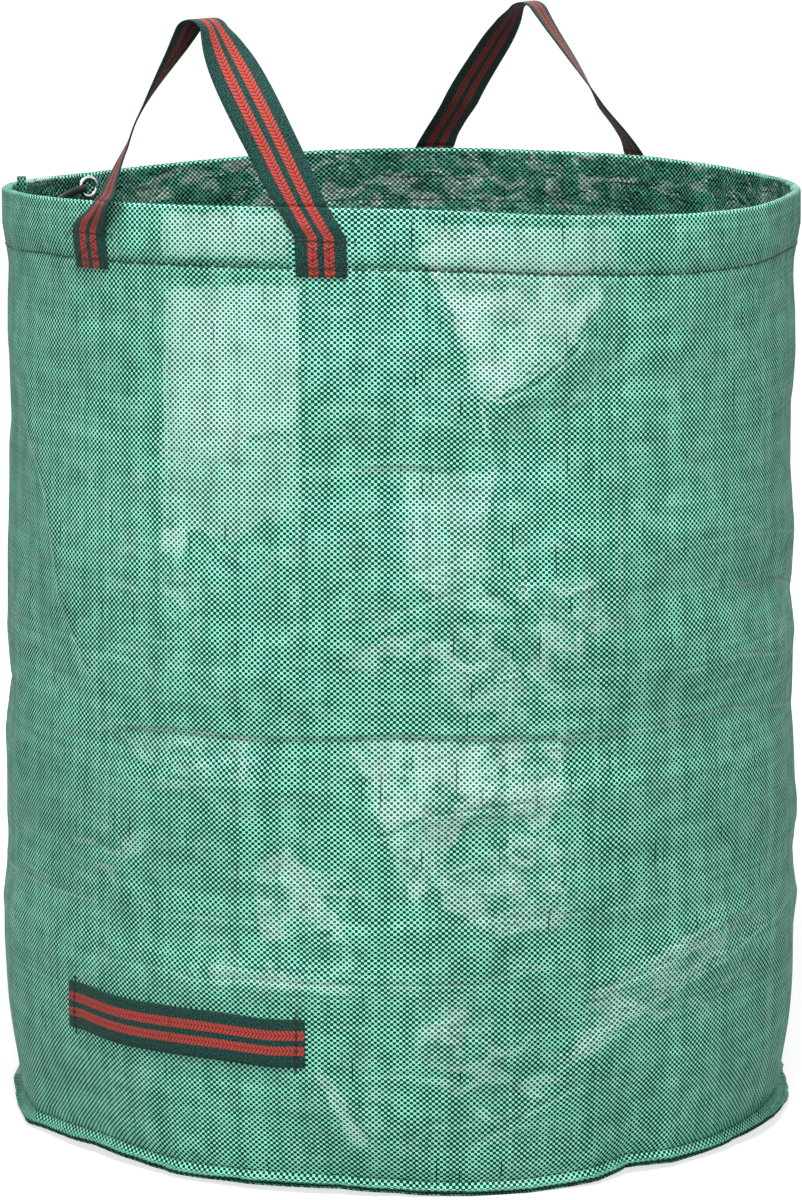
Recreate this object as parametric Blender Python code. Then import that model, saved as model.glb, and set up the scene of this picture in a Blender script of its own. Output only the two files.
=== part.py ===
"""Models a round woven garden sack with a hoop in its hem, three webbing handles and its stitching.

Metres, +Z up. The base rests on the floor at the origin, and the front handle is towards -Y.
Angles on the bag are read from -Y, turning towards +X.
"""

import math

import bmesh
import bpy
from mathutils import Matrix, Vector

# The cloth
BAG_HEIGHT = 0.788
RIM_RADIUS = 0.336
WAIST_INSET = 0.005
BELLY_SWELL = 0.004
FOOT_INSET = 0.001
BELLY_HEIGHT = 0.090
CLOTH = 0.0012
SEAM_LIP = 0.009
SIDE_SEAM_ANGLE = -67.0
SIDE_SEAM_DEPTH = 0.012
SIDE_SEAM_THREAD_DEPTH = 0.008
SIDE_SEAM_TAB_RISE = 0.004
FACET_BOW = 0.00026

# The hem, from its outer face inwards
HEM_HEIGHT = 0.060
HEM_STRAIGHT = 0.030
HEM_CAVITY = 0.0030
HEM_PINCHED_CAVITY = 0.0006
HEM_PINCH = 0.012
HEM_LAP = 0.010
HEM_STITCH_DROP = 0.047

# The hoop band and its eyelet
HOOP_WIDTH = 0.007
HOOP_THICKNESS = 0.0012
HOOP_DROP = 0.0205
HOOP_TAIL = 0.075
HOOP_TAIL_SINK = 0.003
HOOP_CLEARANCE = 0.0006
HOOP_BEND = 0.0078
EYELET_ANGLE = -93.3
EYELET_DROP = 0.020
EYELET_HOLE_RADIUS = 0.0063
EYELET_RADIUS = 0.0103
EYELET_CROWN = 0.0008
EYELET_METAL = 0.0005
EYELET_WASHER_RADIUS = 0.0092
EYELET_WASHER = 0.0004

# The webbing
WEBBING_WIDTH = 0.040
WEBBING = 0.0014
HANDLE_HALF_ANGLE = 18.5
HANDLE_END_DROP = 0.054
HANDLE_STITCH_DROP = 0.025
HANDLE_HINGE_DROP = 0.0225
HANDLE_RISE = 0.148
REAR_HANDLE_RISE = 0.138
HANDLE_APEX_BEND = 0.013
HANDLE_APEX_SINK = 0.005
REAR_HANDLE_ANGLE = 188.2
TIP_HANDLE_ANGLE = -4.0
TIP_HANDLE_HALF_ANGLE = 20.2
TIP_HANDLE_HEIGHT = 0.1225
TIP_HANDLE_SEWN = 0.0105
TIP_STITCH_INSET = 0.0075
TIP_STITCH_LENGTH = 0.054

# The thread
THREAD_RADIUS = 0.0004
BOX_STITCH_WIDTH = 0.034
BOX_STITCH_LINE = 0.0012
BOX_STITCH_TO_HEM_STITCH = 0.0012
BASE_STITCH_INSET = 0.004

# Fits
SEWN_GAP = 0.0003
HOLE_CLEARANCE = 0.0003
FOLD_CLEARANCE = 0.0010
CUT_OVERRUN = 0.002

# Shares and counts
BELLY_EASE_SHARES = (0.0, 0.35, 0.7, 1.0)
WAIST_SHARES = (0.25, 0.5, 0.75)
TWIST_SHARES = (0.04, 0.1, 0.18, 0.28, 0.4, 0.52, 0.64, 0.76, 0.88, 1.0)
LIMB_SQUARE_SHARE = 0.35
FOLD_STEPS = 6
APEX_STEPS = 6
STRAP_COLUMNS = 4
TIP_STRAP_COLUMNS = 20
EYELET_SIDES = 32

WAIST_RADIUS = RIM_RADIUS - WAIST_INSET
BELLY_RADIUS = RIM_RADIUS + BELLY_SWELL
FOOT_RADIUS = RIM_RADIUS - FOOT_INSET
FACETS = 4 * math.ceil(math.pi / math.acos(1 - FACET_BOW / RIM_RADIUS) / 4)
WALL_FOOT = CLOTH + SEWN_GAP
WALL_TOP = BAG_HEIGHT - HEM_HEIGHT - SEWN_GAP
HINGE_HEIGHT = BAG_HEIGHT - HANDLE_HINGE_DROP
FOLD_HEIGHT = BAG_HEIGHT + FOLD_CLEARANCE
THREAD_STAND = SEWN_GAP + THREAD_RADIUS

MATERIALS = {
    "cloth": ((0.19, 0.47, 0.37, 1.0), 0.35, 0.0),
    "base cloth": ((0.12, 0.33, 0.26, 1.0), 0.45, 0.0),
    "webbing": ((0.02, 0.13, 0.11, 1.0), 0.7, 0.0),
    "hoop plastic": ((0.012, 0.012, 0.013, 1.0), 0.4, 0.0),
    "eyelet metal": ((0.78, 0.78, 0.76, 1.0), 0.22, 1.0),
    "thread": ((0.01, 0.01, 0.01, 1.0), 0.6, 0.0),
}


def blend(a, b, share):
    """From a to b, leaving and arriving level."""
    s = min(max(share, 0.0), 1.0)
    return a + (b - a) * s * s * (3 - 2 * s)


def outer_radius(z):
    """Radius of the cloth's outer face at a height."""
    cone_top = BAG_HEIGHT - HEM_STRAIGHT
    cone_foot = BAG_HEIGHT - HEM_HEIGHT
    if z >= cone_foot:
        share = min((z - cone_foot) / (cone_top - cone_foot), 1.0)
        return WAIST_RADIUS + (RIM_RADIUS - WAIST_RADIUS) * share
    if z >= BELLY_HEIGHT:
        return blend(BELLY_RADIUS, WAIST_RADIUS, (z - BELLY_HEIGHT) / (cone_foot - BELLY_HEIGHT))
    return blend(FOOT_RADIUS, BELLY_RADIUS, z / BELLY_HEIGHT)


def on_bag(radius, angle, z):
    """A point at a radius, an angle in degrees from -Y and a height."""
    a = math.radians(angle)
    return Vector((radius * math.sin(a), -radius * math.cos(a), z))


def outward(angle):
    return on_bag(1, angle, 0)


def degrees_of(length, radius):
    """The angle in degrees that a length spans on a circle."""
    return math.degrees(length / radius)


def clear_scene():
    for thing in list(bpy.data.objects):
        bpy.data.objects.remove(thing)


def material(name):
    """The named material, made on its first use."""
    found = bpy.data.materials.get(name)
    if found:
        return found
    colour, roughness, metallic = MATERIALS[name]
    made = bpy.data.materials.new(name)
    made.use_nodes = True
    shader = made.node_tree.nodes["Principled BSDF"]
    shader.inputs["Base Color"].default_value = colour
    shader.inputs["Roughness"].default_value = roughness
    shader.inputs["Metallic"].default_value = metallic
    made.diffuse_color = colour
    return made


def axis_empty(name, place, parent=None):
    """An empty on a joint's axis, with its place given in the world."""
    empty = bpy.data.objects.new(name, None)
    bpy.context.scene.collection.objects.link(empty)
    empty["place"] = tuple(place)
    empty.location = place
    if parent:
        empty.parent = parent
        empty.location = Vector(place) - Vector(parent["place"])
    return empty


def link(name, data, material_name, parent=None):
    """A named object whose data is in world coordinates, carried by its joint's empty."""
    made = bpy.data.objects.new(name, data)
    bpy.context.scene.collection.objects.link(made)
    data.materials.append(material(material_name))
    if parent:
        made.parent = parent
        made.matrix_parent_inverse = Matrix.Translation(-Vector(parent["place"]))
    return made


def mesh_object(name, mesh, material_name, parent=None, sharp=40.0):
    """A mesh object, shaded smooth but for its sharp edges."""
    mesh.shade_smooth()
    mesh.set_sharp_from_angle(angle=math.radians(sharp))
    return link(name, mesh, material_name, parent)


def finish(bm, name):
    """Turns a bmesh into a mesh whose faces all point out."""
    bmesh.ops.recalc_face_normals(bm, faces=bm.faces)
    mesh = bpy.data.meshes.new(name)
    bm.to_mesh(mesh)
    bm.free()
    return mesh


def turned(name, profile, material_name, parent=None, steps=FACETS):
    """A closed profile of (radius, height), outer side first and downwards, turned about Z."""
    bm = bmesh.new()
    corners = [bm.verts.new((r, 0, z)) for r, z in profile]
    for a, b in zip(corners, corners[1:] + corners[:1]):
        bm.edges.new((a, b))
    mesh = bpy.data.meshes.new(name)
    bm.to_mesh(mesh)
    bm.free()
    made = link(name, mesh, material_name, parent)
    screw = made.modifiers.new("Turn", "SCREW")
    screw.steps = steps
    screw.render_steps = steps
    screw.use_merge_vertices = True
    screw.merge_threshold = 0.0001
    screw.use_smooth_shade = True
    return made


def tube(name, points, material_name, parent=None, closed=False):
    """A thread along points, with filled ends."""
    curve = bpy.data.curves.new(name, "CURVE")
    curve.dimensions = "3D"
    curve.bevel_depth = THREAD_RADIUS
    curve.bevel_resolution = 1
    curve.use_fill_caps = not closed
    spline = curve.splines.new("POLY")
    spline.points.add(len(points) - 1)
    for place, point in zip(spline.points, points):
        place.co = (*point, 1)
    spline.use_cyclic_u = closed
    return link(name, curve, material_name, parent)


def ring_of(points, bm):
    return [bm.verts.new(p) for p in points]


def loft(name, sections, material_name, parent=None, closed=False):
    """A solid through sections that hold the same number of points, with flat ends."""
    bm = bmesh.new()
    rings = [ring_of(points, bm) for points in sections]
    pairs = list(zip(rings, rings[1:]))
    if closed:
        pairs.append((rings[-1], rings[0]))
    for one, other in pairs:
        for i, corner in enumerate(one):
            j = (i + 1) % len(one)
            bm.faces.new((corner, one[j], other[j], other[i]))
    if not closed:
        bm.faces.new(rings[0])
        bm.faces.new(rings[-1])
    return mesh_object(name, finish(bm, name), material_name, parent)


def patch_section(place, columns, z, stand, thickness):
    """The section of a strap on the wall: its inner face across, then its outer face back."""
    left, right = place
    angles = [left + (right - left) * i / columns for i in range(columns + 1)]
    inner = outer_radius(z) + stand
    across = [on_bag(inner, a, z) for a in angles]
    back = [on_bag(inner + thickness, a, z) for a in reversed(angles)]
    return across + back


def strap_on_wall(name, places, parent=None, columns=STRAP_COLUMNS):
    """Webbing on the wall, through (left angle, right angle, height) from low to high."""
    sections = [patch_section((a, b), columns, z, SEWN_GAP, WEBBING) for a, b, z in places]
    return loft(name, sections, "webbing", parent)


def wall_heights():
    """Heights along the wall where its profile has a point."""
    low = [WALL_FOOT + CLOTH + (BELLY_HEIGHT - WALL_FOOT - CLOTH) * s for s in BELLY_EASE_SHARES]
    high = [BELLY_HEIGHT + (WALL_TOP - BELLY_HEIGHT) * s for s in WAIST_SHARES]
    return low + high + [WALL_TOP]


def fin(name, foot, top, root_stand):
    """The side seam's turned-in allowance, as a plate that a union joins to the cloth."""
    half = degrees_of(CLOTH, RIM_RADIUS)
    sections = []
    heights = [z for z in wall_heights() if foot < z < top]
    for z in [foot] + heights + [top]:
        radius = outer_radius(z) - root_stand
        tip = outer_radius(z) - SIDE_SEAM_DEPTH
        sections.append([
            on_bag(radius, SIDE_SEAM_ANGLE - half, z),
            on_bag(radius, SIDE_SEAM_ANGLE + half, z),
            on_bag(tip, SIDE_SEAM_ANGLE + half, z),
            on_bag(tip, SIDE_SEAM_ANGLE - half, z),
        ])
    made = loft(name, sections, "cloth")
    made.hide_render = True
    made.display_type = "WIRE"
    return made


def boolean(target, tool, operation):
    """Keeps the operation on the target and hides its tool."""
    step = target.modifiers.new(operation.title(), "BOOLEAN")
    step.operation = operation
    step.solver = "EXACT"
    step.object = tool
    tool.hide_render = True
    tool.display_type = "WIRE"


def base_panel():
    """The round base cloth, out to the edge of the seam's lip."""
    bm = bmesh.new()
    bmesh.ops.create_cone(
        bm, cap_ends=True, segments=FACETS, depth=CLOTH,
        radius1=FOOT_RADIUS + SEAM_LIP, radius2=FOOT_RADIUS + SEAM_LIP,
    )
    bmesh.ops.translate(bm, verts=bm.verts, vec=(0, 0, CLOTH / 2))
    mesh_object("base_panel", finish(bm, "base_panel"), "base cloth")


def wall_panel():
    """The wall with its seam allowance turned out at the foot and in at the side seam."""
    heights = wall_heights()
    lip = FOOT_RADIUS + SEAM_LIP
    outer = [(outer_radius(z), z) for z in reversed(heights)]
    flange = [(lip, WALL_FOOT + CLOTH), (lip, WALL_FOOT), (FOOT_RADIUS - CLOTH, WALL_FOOT)]
    inner = [(outer_radius(z) - CLOTH, z) for z in heights[1:]]
    wall = turned("wall_panel", outer + flange + inner, "cloth")
    seam_top = WALL_TOP - HEM_LAP - SEWN_GAP
    seam = fin("wall_seam_tool", heights[1], seam_top, CLOTH / 2)
    boolean(wall, seam, "UNION")


def hem_profile():
    """The folded hem: outer layer, fold, inner layer and the cavity that holds the hoop."""
    top, foot = BAG_HEIGHT, BAG_HEIGHT - HEM_HEIGHT
    wide = CLOTH + HEM_CAVITY
    full = wide + CLOTH
    narrow = CLOTH + HEM_PINCHED_CAVITY
    outer_bend, inner_bend = full / 2, HEM_CAVITY / 2
    centre = (RIM_RADIUS - outer_bend, top - outer_bend)
    cone_top = top - HEM_STRAIGHT
    pinch = cone_top - HEM_PINCH
    lap = foot - HEM_LAP

    def arc(radius, start, stop):
        turns = [start + (stop - start) * i / FOLD_STEPS for i in range(FOLD_STEPS + 1)]
        return [(centre[0] + radius * math.cos(t), centre[1] + radius * math.sin(t)) for t in turns]

    def face(inset, *heights):
        return [(outer_radius(z) - inset, z) for z in heights]

    outside = arc(outer_bend, math.pi, 0)
    cavity = arc(inner_bend, 0, math.pi)
    return (
        outside
        + face(0, cone_top, pinch, foot)
        + face(CLOTH, foot, pinch, cone_top)
        + cavity
        + face(wide, cone_top)
        + face(narrow, pinch, foot, lap)
        + face(narrow + CLOTH, lap, foot, pinch)
        + face(full, cone_top)
    )


def hem_band(rim):
    """The hem, with the side seam's tab on its inner face and the eyelet's hole in it."""
    hem = turned("hem_band", hem_profile(), "cloth", rim)
    inner_face = 2 * CLOTH + HEM_CAVITY
    tab_root = inner_face - CLOTH / 2
    tab = fin("hem_tab_tool", BAG_HEIGHT - HEM_STRAIGHT, BAG_HEIGHT + SIDE_SEAM_TAB_RISE, tab_root)
    boolean(hem, tab, "UNION")
    bm = bmesh.new()
    radius = EYELET_HOLE_RADIUS + EYELET_METAL + HOLE_CLEARANCE
    depth = CLOTH + 2 * SEWN_GAP
    bmesh.ops.create_cone(
        bm, cap_ends=True, segments=EYELET_SIDES, depth=depth + CUT_OVERRUN / 2,
        radius1=radius, radius2=radius,
    )
    cutter = mesh_object("eyelet_hole_tool", finish(bm, "eyelet_hole_tool"), "cloth")
    cutter.matrix_world = eyelet_frame(-inner_face + CLOTH / 2)
    boolean(hem, cutter, "DIFFERENCE")


def eyelet_frame(stand):
    """Local Z points into the bag, from a point that stands off the hem's outer face."""
    place = on_bag(RIM_RADIUS + stand, EYELET_ANGLE, BAG_HEIGHT - EYELET_DROP)
    inwards = -outward(EYELET_ANGLE)
    across = Vector((0, 0, 1)).cross(inwards)
    turn = Matrix((across, inwards.cross(across), inwards)).transposed().to_4x4()
    return Matrix.Translation(place) @ turn


def eyelet(rim):
    """The eyelet's crowned flange and barrel on the inside, and its washer in the cavity."""
    layer_in = 2 * CLOTH + HEM_CAVITY
    bow = RIM_RADIUS - math.sqrt(RIM_RADIUS**2 - EYELET_RADIUS**2)
    seat = SEWN_GAP + bow
    back = CLOTH + SEWN_GAP + EYELET_WASHER
    wall = EYELET_HOLE_RADIUS + EYELET_METAL
    mid = (wall + EYELET_RADIUS) / 2
    flange = [
        (EYELET_RADIUS, seat + EYELET_CROWN / 2),
        (EYELET_RADIUS, seat),
        (wall, seat),
        (wall, -back),
        (EYELET_HOLE_RADIUS, -back),
        (EYELET_HOLE_RADIUS, seat + EYELET_CROWN / 2),
        (wall, seat + EYELET_CROWN),
        (mid, seat + EYELET_CROWN + EYELET_METAL / 2),
        (EYELET_RADIUS - EYELET_METAL, seat + EYELET_CROWN),
    ]
    made = turned("eyelet_flange", flange, "eyelet metal", None, EYELET_SIDES)
    washer_hole = wall + HOLE_CLEARANCE
    washer = [
        (EYELET_WASHER_RADIUS, -CLOTH - SEWN_GAP),
        (EYELET_WASHER_RADIUS, -back),
        (washer_hole, -back),
        (washer_hole, -CLOTH - SEWN_GAP),
    ]
    ring = turned("eyelet_washer", washer, "eyelet metal", None, EYELET_SIDES)
    for thing in (made, ring):
        thing.parent = rim
        thing.matrix_parent_inverse = Matrix.Translation(-Vector(rim["place"]))
        thing.matrix_basis = eyelet_frame(-layer_in)


def hoop_places():
    """(depth of the band's middle below the hem's outer face, angle, height) along the hoop."""
    ring_depth = CLOTH + HOOP_CLEARANCE + HOOP_THICKNESS / 2
    flange_face = 2 * CLOTH + HEM_CAVITY + SEWN_GAP + EYELET_CROWN + EYELET_METAL
    tail_depth = flange_face + HOOP_CLEARANCE + HOOP_THICKNESS / 2
    height = BAG_HEIGHT - HOOP_DROP
    facet = 360.0 / FACETS
    bend = degrees_of(HOOP_BEND, RIM_RADIUS)
    tail = degrees_of(HOOP_TAIL, RIM_RADIUS)
    start = EYELET_ANGLE + degrees_of(EYELET_RADIUS + HOOP_CLEARANCE, RIM_RADIUS)
    stop = EYELET_ANGLE + 360.0 - bend
    first, last = math.ceil(start / facet), math.floor(stop / facet)
    angles = [start] + [i * facet for i in range(first + 1, last)] + [stop]
    places = [(ring_depth, a, height) for a in angles]
    crossing = EYELET_ANGLE + 360.0
    for step in range(1, 2 * FOLD_STEPS + 1):
        share = step / (2 * FOLD_STEPS)
        depth = blend(ring_depth, tail_depth, share)
        places.append((depth, crossing - bend + 2 * bend * share, height))
    tail_steps = FOLD_STEPS
    for step in range(1, tail_steps + 1):
        share = step / tail_steps
        sink = blend(0, HOOP_TAIL_SINK, share)
        places.append((tail_depth, crossing + bend + (tail - bend) * share, height - sink))
    return places


def hem_hoop(rim):
    """The flat hoop band in the hem, whose tail runs out through the eyelet and along the inside."""
    places = hoop_places()
    centres = [on_bag(RIM_RADIUS - depth, angle, z) for depth, angle, z in places]
    sections = []
    for i, centre in enumerate(centres):
        ahead = centres[min(i + 1, len(centres) - 1)] - centres[max(i - 1, 0)]
        along = Vector((ahead.x, ahead.y, 0)).normalized()
        across = along.cross(Vector((0, 0, 1)))
        half_t = across * HOOP_THICKNESS / 2
        half_w = Vector((0, 0, HOOP_WIDTH / 2))
        corners = (half_w + half_t, half_w - half_t, -half_w - half_t, half_t - half_w)
        sections.append([centre + c for c in corners])
    loft("hem_hoop", sections, "hoop plastic", rim)


def handle_places(handle_angle):
    """The angles of a handle's left and right ends."""
    return {"left": handle_angle - HANDLE_HALF_ANGLE, "right": handle_angle + HANDLE_HALF_ANGLE}


def limb_slope(loop_rise):
    """How far a handle's limb leans, as (half span at the fold, lean from upright)."""
    radius = outer_radius(HINGE_HEIGHT) + SEWN_GAP + WEBBING / 2
    foot = radius * math.sin(math.radians(HANDLE_HALF_ANGLE))
    centre_z = BAG_HEIGHT + loop_rise - WEBBING / 2 - HANDLE_APEX_BEND
    rise = centre_z - HINGE_HEIGHT
    reach = math.hypot(foot, rise)
    lean = math.atan2(foot, rise) - math.asin(HANDLE_APEX_BEND / reach)
    half_span = foot - (FOLD_HEIGHT - HINGE_HEIGHT) * math.tan(lean)
    return half_span, lean


def fold_half_angle(loop_rise):
    """The angle from a handle's middle to its limb where it passes the rim."""
    half_span, _ = limb_slope(loop_rise)
    radius = RIM_RADIUS + SEWN_GAP + WEBBING / 2
    return math.degrees(math.asin(half_span / radius))


def half_strap():
    """Half the webbing's width as an angle on the bag."""
    return degrees_of(WEBBING_WIDTH / 2, RIM_RADIUS)


def handle_ends(name, handle_angle, rim):
    """The two ends of a handle, sewn flat on the hem."""
    half = half_strap()
    low, high = BAG_HEIGHT - HANDLE_END_DROP, HINGE_HEIGHT - SEWN_GAP / 2
    cone_top = BAG_HEIGHT - HEM_STRAIGHT
    middle = (low + cone_top) / 2
    for side, angle in handle_places(handle_angle).items():
        heights = (low, middle, cone_top, high)
        places = [(angle - half, angle + half, z) for z in heights]
        strap_on_wall(f"{name}_end_{side}", places, rim)


def handle_risers(name, handle_angle, loop_rise, drop):
    """The stretch of each limb from the upper stitch to the rim, which drops with the handle."""
    half = half_strap()
    fold = fold_half_angle(loop_rise)
    low, high = HINGE_HEIGHT + SEWN_GAP / 2, FOLD_HEIGHT - SEWN_GAP / 2
    for side, sign in (("left", -1), ("right", 1)):
        foot = handle_angle + sign * HANDLE_HALF_ANGLE
        head = handle_angle + sign * fold
        middle = ((foot + head) / 2, (low + high) / 2)
        places = [(a - half, a + half, z) for a, z in ((foot, low), middle, (head, high))]
        strap_on_wall(f"{name}_riser_{side}", places, drop)


def loop_stations(loop_rise):
    """(middle, half width, face normal) along the free loop, from its left foot to its right.

    A handle's own frame has X along the chord, -Y out of the bag and Z up. Each limb leans to
    the apex and turns a quarter, so that its outer face comes to the top.
    """
    half_span, lean = limb_slope(loop_rise)
    fold = math.radians(fold_half_angle(loop_rise))
    foot_y = -(RIM_RADIUS + SEWN_GAP + WEBBING / 2) * math.cos(fold)
    apex_y = foot_y + HANDLE_APEX_SINK
    foot_z = FOLD_HEIGHT + SEWN_GAP / 2
    centre_z = BAG_HEIGHT + loop_rise - WEBBING / 2 - HANDLE_APEX_BEND
    touch = Vector((HANDLE_APEX_BEND * math.cos(lean), 0, centre_z + HANDLE_APEX_BEND * math.sin(lean)))
    foot = Vector((half_span, 0, foot_z))
    half_width = WEBBING_WIDTH / 2

    def station(x, z, along, share):
        """A station on the right limb or the apex, for the way from left to right."""
        turn = math.pi / 2 * math.sin(math.pi / 2 * share)
        level = Vector((math.cos(fold), math.sin(fold), 0))
        square = Vector((-along.z, 0, along.x))
        flat = level.lerp(square, min(share / LIMB_SQUARE_SHARE, 1.0)).normalized()
        inward = Vector((0, 1, 0))
        width = (flat * math.cos(turn) + inward * math.sin(turn)) * half_width
        middle = Vector((x, blend(foot_y, apex_y, share), z))
        return middle, width, along.cross(width).normalized()

    down = (foot - touch).normalized()
    limb = []
    for share in TWIST_SHARES:
        point = foot.lerp(touch, share)
        limb.append(station(point.x, point.z, down, share))
    base_normal = Vector((math.sin(fold), -math.cos(fold), 0))
    base_width = Vector((math.cos(fold), math.sin(fold), 0)) * half_width
    limb.insert(0, (Vector((foot.x, foot_y, foot.z)), base_width, base_normal))
    arc = []
    for i in range(1, APEX_STEPS):
        turn = lean + (math.pi - 2 * lean) * i / APEX_STEPS
        x, z = HANDLE_APEX_BEND * math.cos(turn), centre_z + HANDLE_APEX_BEND * math.sin(turn)
        arc.append(station(x, z, Vector((math.sin(turn), 0, -math.cos(turn))), 1.0))
    mirrored = []
    for middle, width, normal in limb:
        flip = Vector((-1, 1, 1))
        mirrored.append((middle * flip, width * flip, normal * flip))
    return mirrored + list(reversed(arc)) + list(reversed(limb))


def handle_loop(name, handle_angle, loop_rise, fold):
    """The free loop of a handle, from rim to rim."""
    turn = Matrix.Rotation(math.radians(handle_angle), 3, "Z")
    sections = []
    for middle, width, normal in loop_stations(loop_rise):
        half = normal * WEBBING / 2
        corners = (-width - half, -half, width - half, width + half, half, half - width)
        sections.append([turn @ (middle + corner) for corner in corners])
    loft(f"{name}_loop", sections, "webbing", fold)


def box_stitch(name, angle, rim):
    """A bar along the top and a cross below it, sewn through a handle's end."""
    half_w, half_h = BOX_STITCH_WIDTH / 2, (HEM_STITCH_DROP - HANDLE_STITCH_DROP) / 2
    low_gap = BOX_STITCH_TO_HEM_STITCH
    line = BOX_STITCH_LINE
    outline = [
        (-half_w, half_h + line / 2), (half_w, half_h + line / 2), (half_w, half_h - line),
        (line, 0), (half_w, low_gap - half_h), (half_w - 2 * line, low_gap - half_h),
        (0, -line), (2 * line - half_w, low_gap - half_h), (-half_w, low_gap - half_h),
        (-line, 0), (-half_w, half_h - line),
    ]
    hole = [(3 * line - half_w, half_h - line / 2), (half_w - 3 * line, half_h - line / 2), (0, line)]
    bm = bmesh.new()
    edges = []
    for loop in (outline, hole):
        corners = ring_of([(x, 0, z) for x, z in loop], bm)
        edges += [bm.edges.new(pair) for pair in zip(corners, corners[1:] + corners[:1])]
    bmesh.ops.triangle_fill(bm, use_beauty=True, edges=edges)
    columns = STRAP_COLUMNS
    for i in range(1, columns):
        cut = -half_w + BOX_STITCH_WIDTH * i / columns
        everything = list(bm.verts) + list(bm.edges) + list(bm.faces)
        bmesh.ops.bisect_plane(bm, geom=everything, plane_co=(cut, 0, 0), plane_no=(1, 0, 0))
    faces = list(bm.faces)
    raised = bmesh.ops.extrude_face_region(bm, geom=faces)
    top = {v for v in raised["geom"] if isinstance(v, bmesh.types.BMVert)}
    centre = BAG_HEIGHT - (HEM_STITCH_DROP + HANDLE_STITCH_DROP) / 2
    for corner in bm.verts:
        z = centre + corner.co.z
        stand = 2 * SEWN_GAP + WEBBING + (2 * THREAD_RADIUS if corner in top else 0)
        turn = degrees_of(corner.co.x, RIM_RADIUS)
        corner.co = on_bag(outer_radius(z) + stand, angle + turn, z)
    mesh_object(name, finish(bm, name), "thread", rim, 30.0)


def hem_thread(rim):
    """The hem's stitching, which steps over each handle end that it crosses."""
    z = BAG_HEIGHT - HEM_STITCH_DROP
    radius = outer_radius(z) + THREAD_STAND
    step_up = SEWN_GAP + WEBBING
    half = half_strap()
    ramp = degrees_of(step_up, RIM_RADIUS)
    ends = [a % 360 for h in (0, REAR_HANDLE_ANGLE) for a in handle_places(h).values()]
    facet = 360.0 / FACETS
    places = {round(i * facet, 4): 0 for i in range(FACETS)}
    for end in ends:
        places = {a: s for a, s in places.items() if abs((a - end + 180) % 360 - 180) > half + 2 * ramp}
    for end in ends:
        for offset in (-half - ramp, half + ramp):
            places[(end + offset) % 360] = 0
        for i in range(STRAP_COLUMNS + 1):
            places[(end - half - ramp / 3 + (2 * half + 2 * ramp / 3) * i / STRAP_COLUMNS) % 360] = step_up
    points = [on_bag(radius + step, a, z) for a, step in sorted(places.items())]
    tube("hem_thread", points, "thread", rim, closed=True)


def seam_threads():
    """The base seam's ring on its lip, and the side seam's line on the turned-in allowance."""
    facet = 360.0 / FACETS
    ring = FOOT_RADIUS + SEAM_LIP - BASE_STITCH_INSET
    height = WALL_FOOT + CLOTH + THREAD_STAND
    tube("base_seam_thread", [on_bag(ring, i * facet, height) for i in range(FACETS)], "thread", closed=True)
    heights = wall_heights()
    points = []
    side = degrees_of(CLOTH + THREAD_STAND, RIM_RADIUS - SIDE_SEAM_THREAD_DEPTH)
    top = WALL_TOP - HEM_LAP - 2 * SEWN_GAP
    for z in [heights[1] + CLOTH] + [z for z in heights[2:] if z < top] + [top]:
        points.append(on_bag(outer_radius(z) - SIDE_SEAM_THREAD_DEPTH, SIDE_SEAM_ANGLE + side, z))
    tube("side_seam_thread", points, "thread")


def tip_handle(lift):
    """The tipping handle low on the front: two sewn ends and the free middle."""
    low = TIP_HANDLE_HEIGHT - WEBBING_WIDTH / 2
    high = TIP_HANDLE_HEIGHT + WEBBING_WIDTH / 2
    heights = (low, TIP_HANDLE_HEIGHT, high)
    radius = outer_radius(TIP_HANDLE_HEIGHT)
    sewn = degrees_of(TIP_HANDLE_SEWN, radius)
    gap = degrees_of(SEWN_GAP / 2, radius)
    inner = TIP_HANDLE_HALF_ANGLE - sewn
    left, right = TIP_HANDLE_ANGLE - inner, TIP_HANDLE_ANGLE + inner
    far_left = TIP_HANDLE_ANGLE - TIP_HANDLE_HALF_ANGLE
    far_right = TIP_HANDLE_ANGLE + TIP_HANDLE_HALF_ANGLE
    strap_on_wall("tip_handle_strap", [(left + gap, right - gap, z) for z in heights], lift, TIP_STRAP_COLUMNS)
    strap_on_wall("tip_handle_end_left", [(far_left, left - gap, z) for z in heights], None, 1)
    strap_on_wall("tip_handle_end_right", [(right + gap, far_right, z) for z in heights], None, 1)
    inset = degrees_of(TIP_STITCH_INSET, radius)
    tip_stitch("tip_handle_stitch_left", far_left + inset)
    tip_stitch("tip_handle_stitch_right", far_right - inset)


def tip_stitch(name, angle):
    """A straight bar of thread across the strap, which steps down onto the wall at both edges."""
    half_strap_height = WEBBING_WIDTH / 2
    edge = half_strap_height + SEWN_GAP
    step = SEWN_GAP + WEBBING
    half = TIP_STITCH_LENGTH / 2
    offsets = [(-half, 0), (-edge - step, 0), (-edge, step), (0, step), (edge, step), (edge + step, 0), (half, 0)]
    points = []
    for rise, stand in offsets:
        z = TIP_HANDLE_HEIGHT + rise
        points.append(on_bag(outer_radius(z) + THREAD_STAND + stand, angle, z))
    tube(name, points, "thread")


def drop_axis(handle_angle):
    """A point on the axis that a handle drops about, outside all that it folds over."""
    inner_edge = math.radians(HANDLE_HALF_ANGLE - half_strap())
    proud = 3 * SEWN_GAP + WEBBING + 2 * THREAD_RADIUS
    reach = (outer_radius(HINGE_HEIGHT) + proud) * math.cos(inner_edge) + FOLD_CLEARANCE
    return on_bag(reach, handle_angle, HINGE_HEIGHT)


def fold_axis(handle_angle, loop_rise):
    """A point on the axis that a handle folds in about, inside all of its foot."""
    outer_edge = math.radians(fold_half_angle(loop_rise) + half_strap())
    reach = (RIM_RADIUS + SEWN_GAP) * math.cos(outer_edge) - FOLD_CLEARANCE
    return on_bag(reach, handle_angle, FOLD_HEIGHT)


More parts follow.
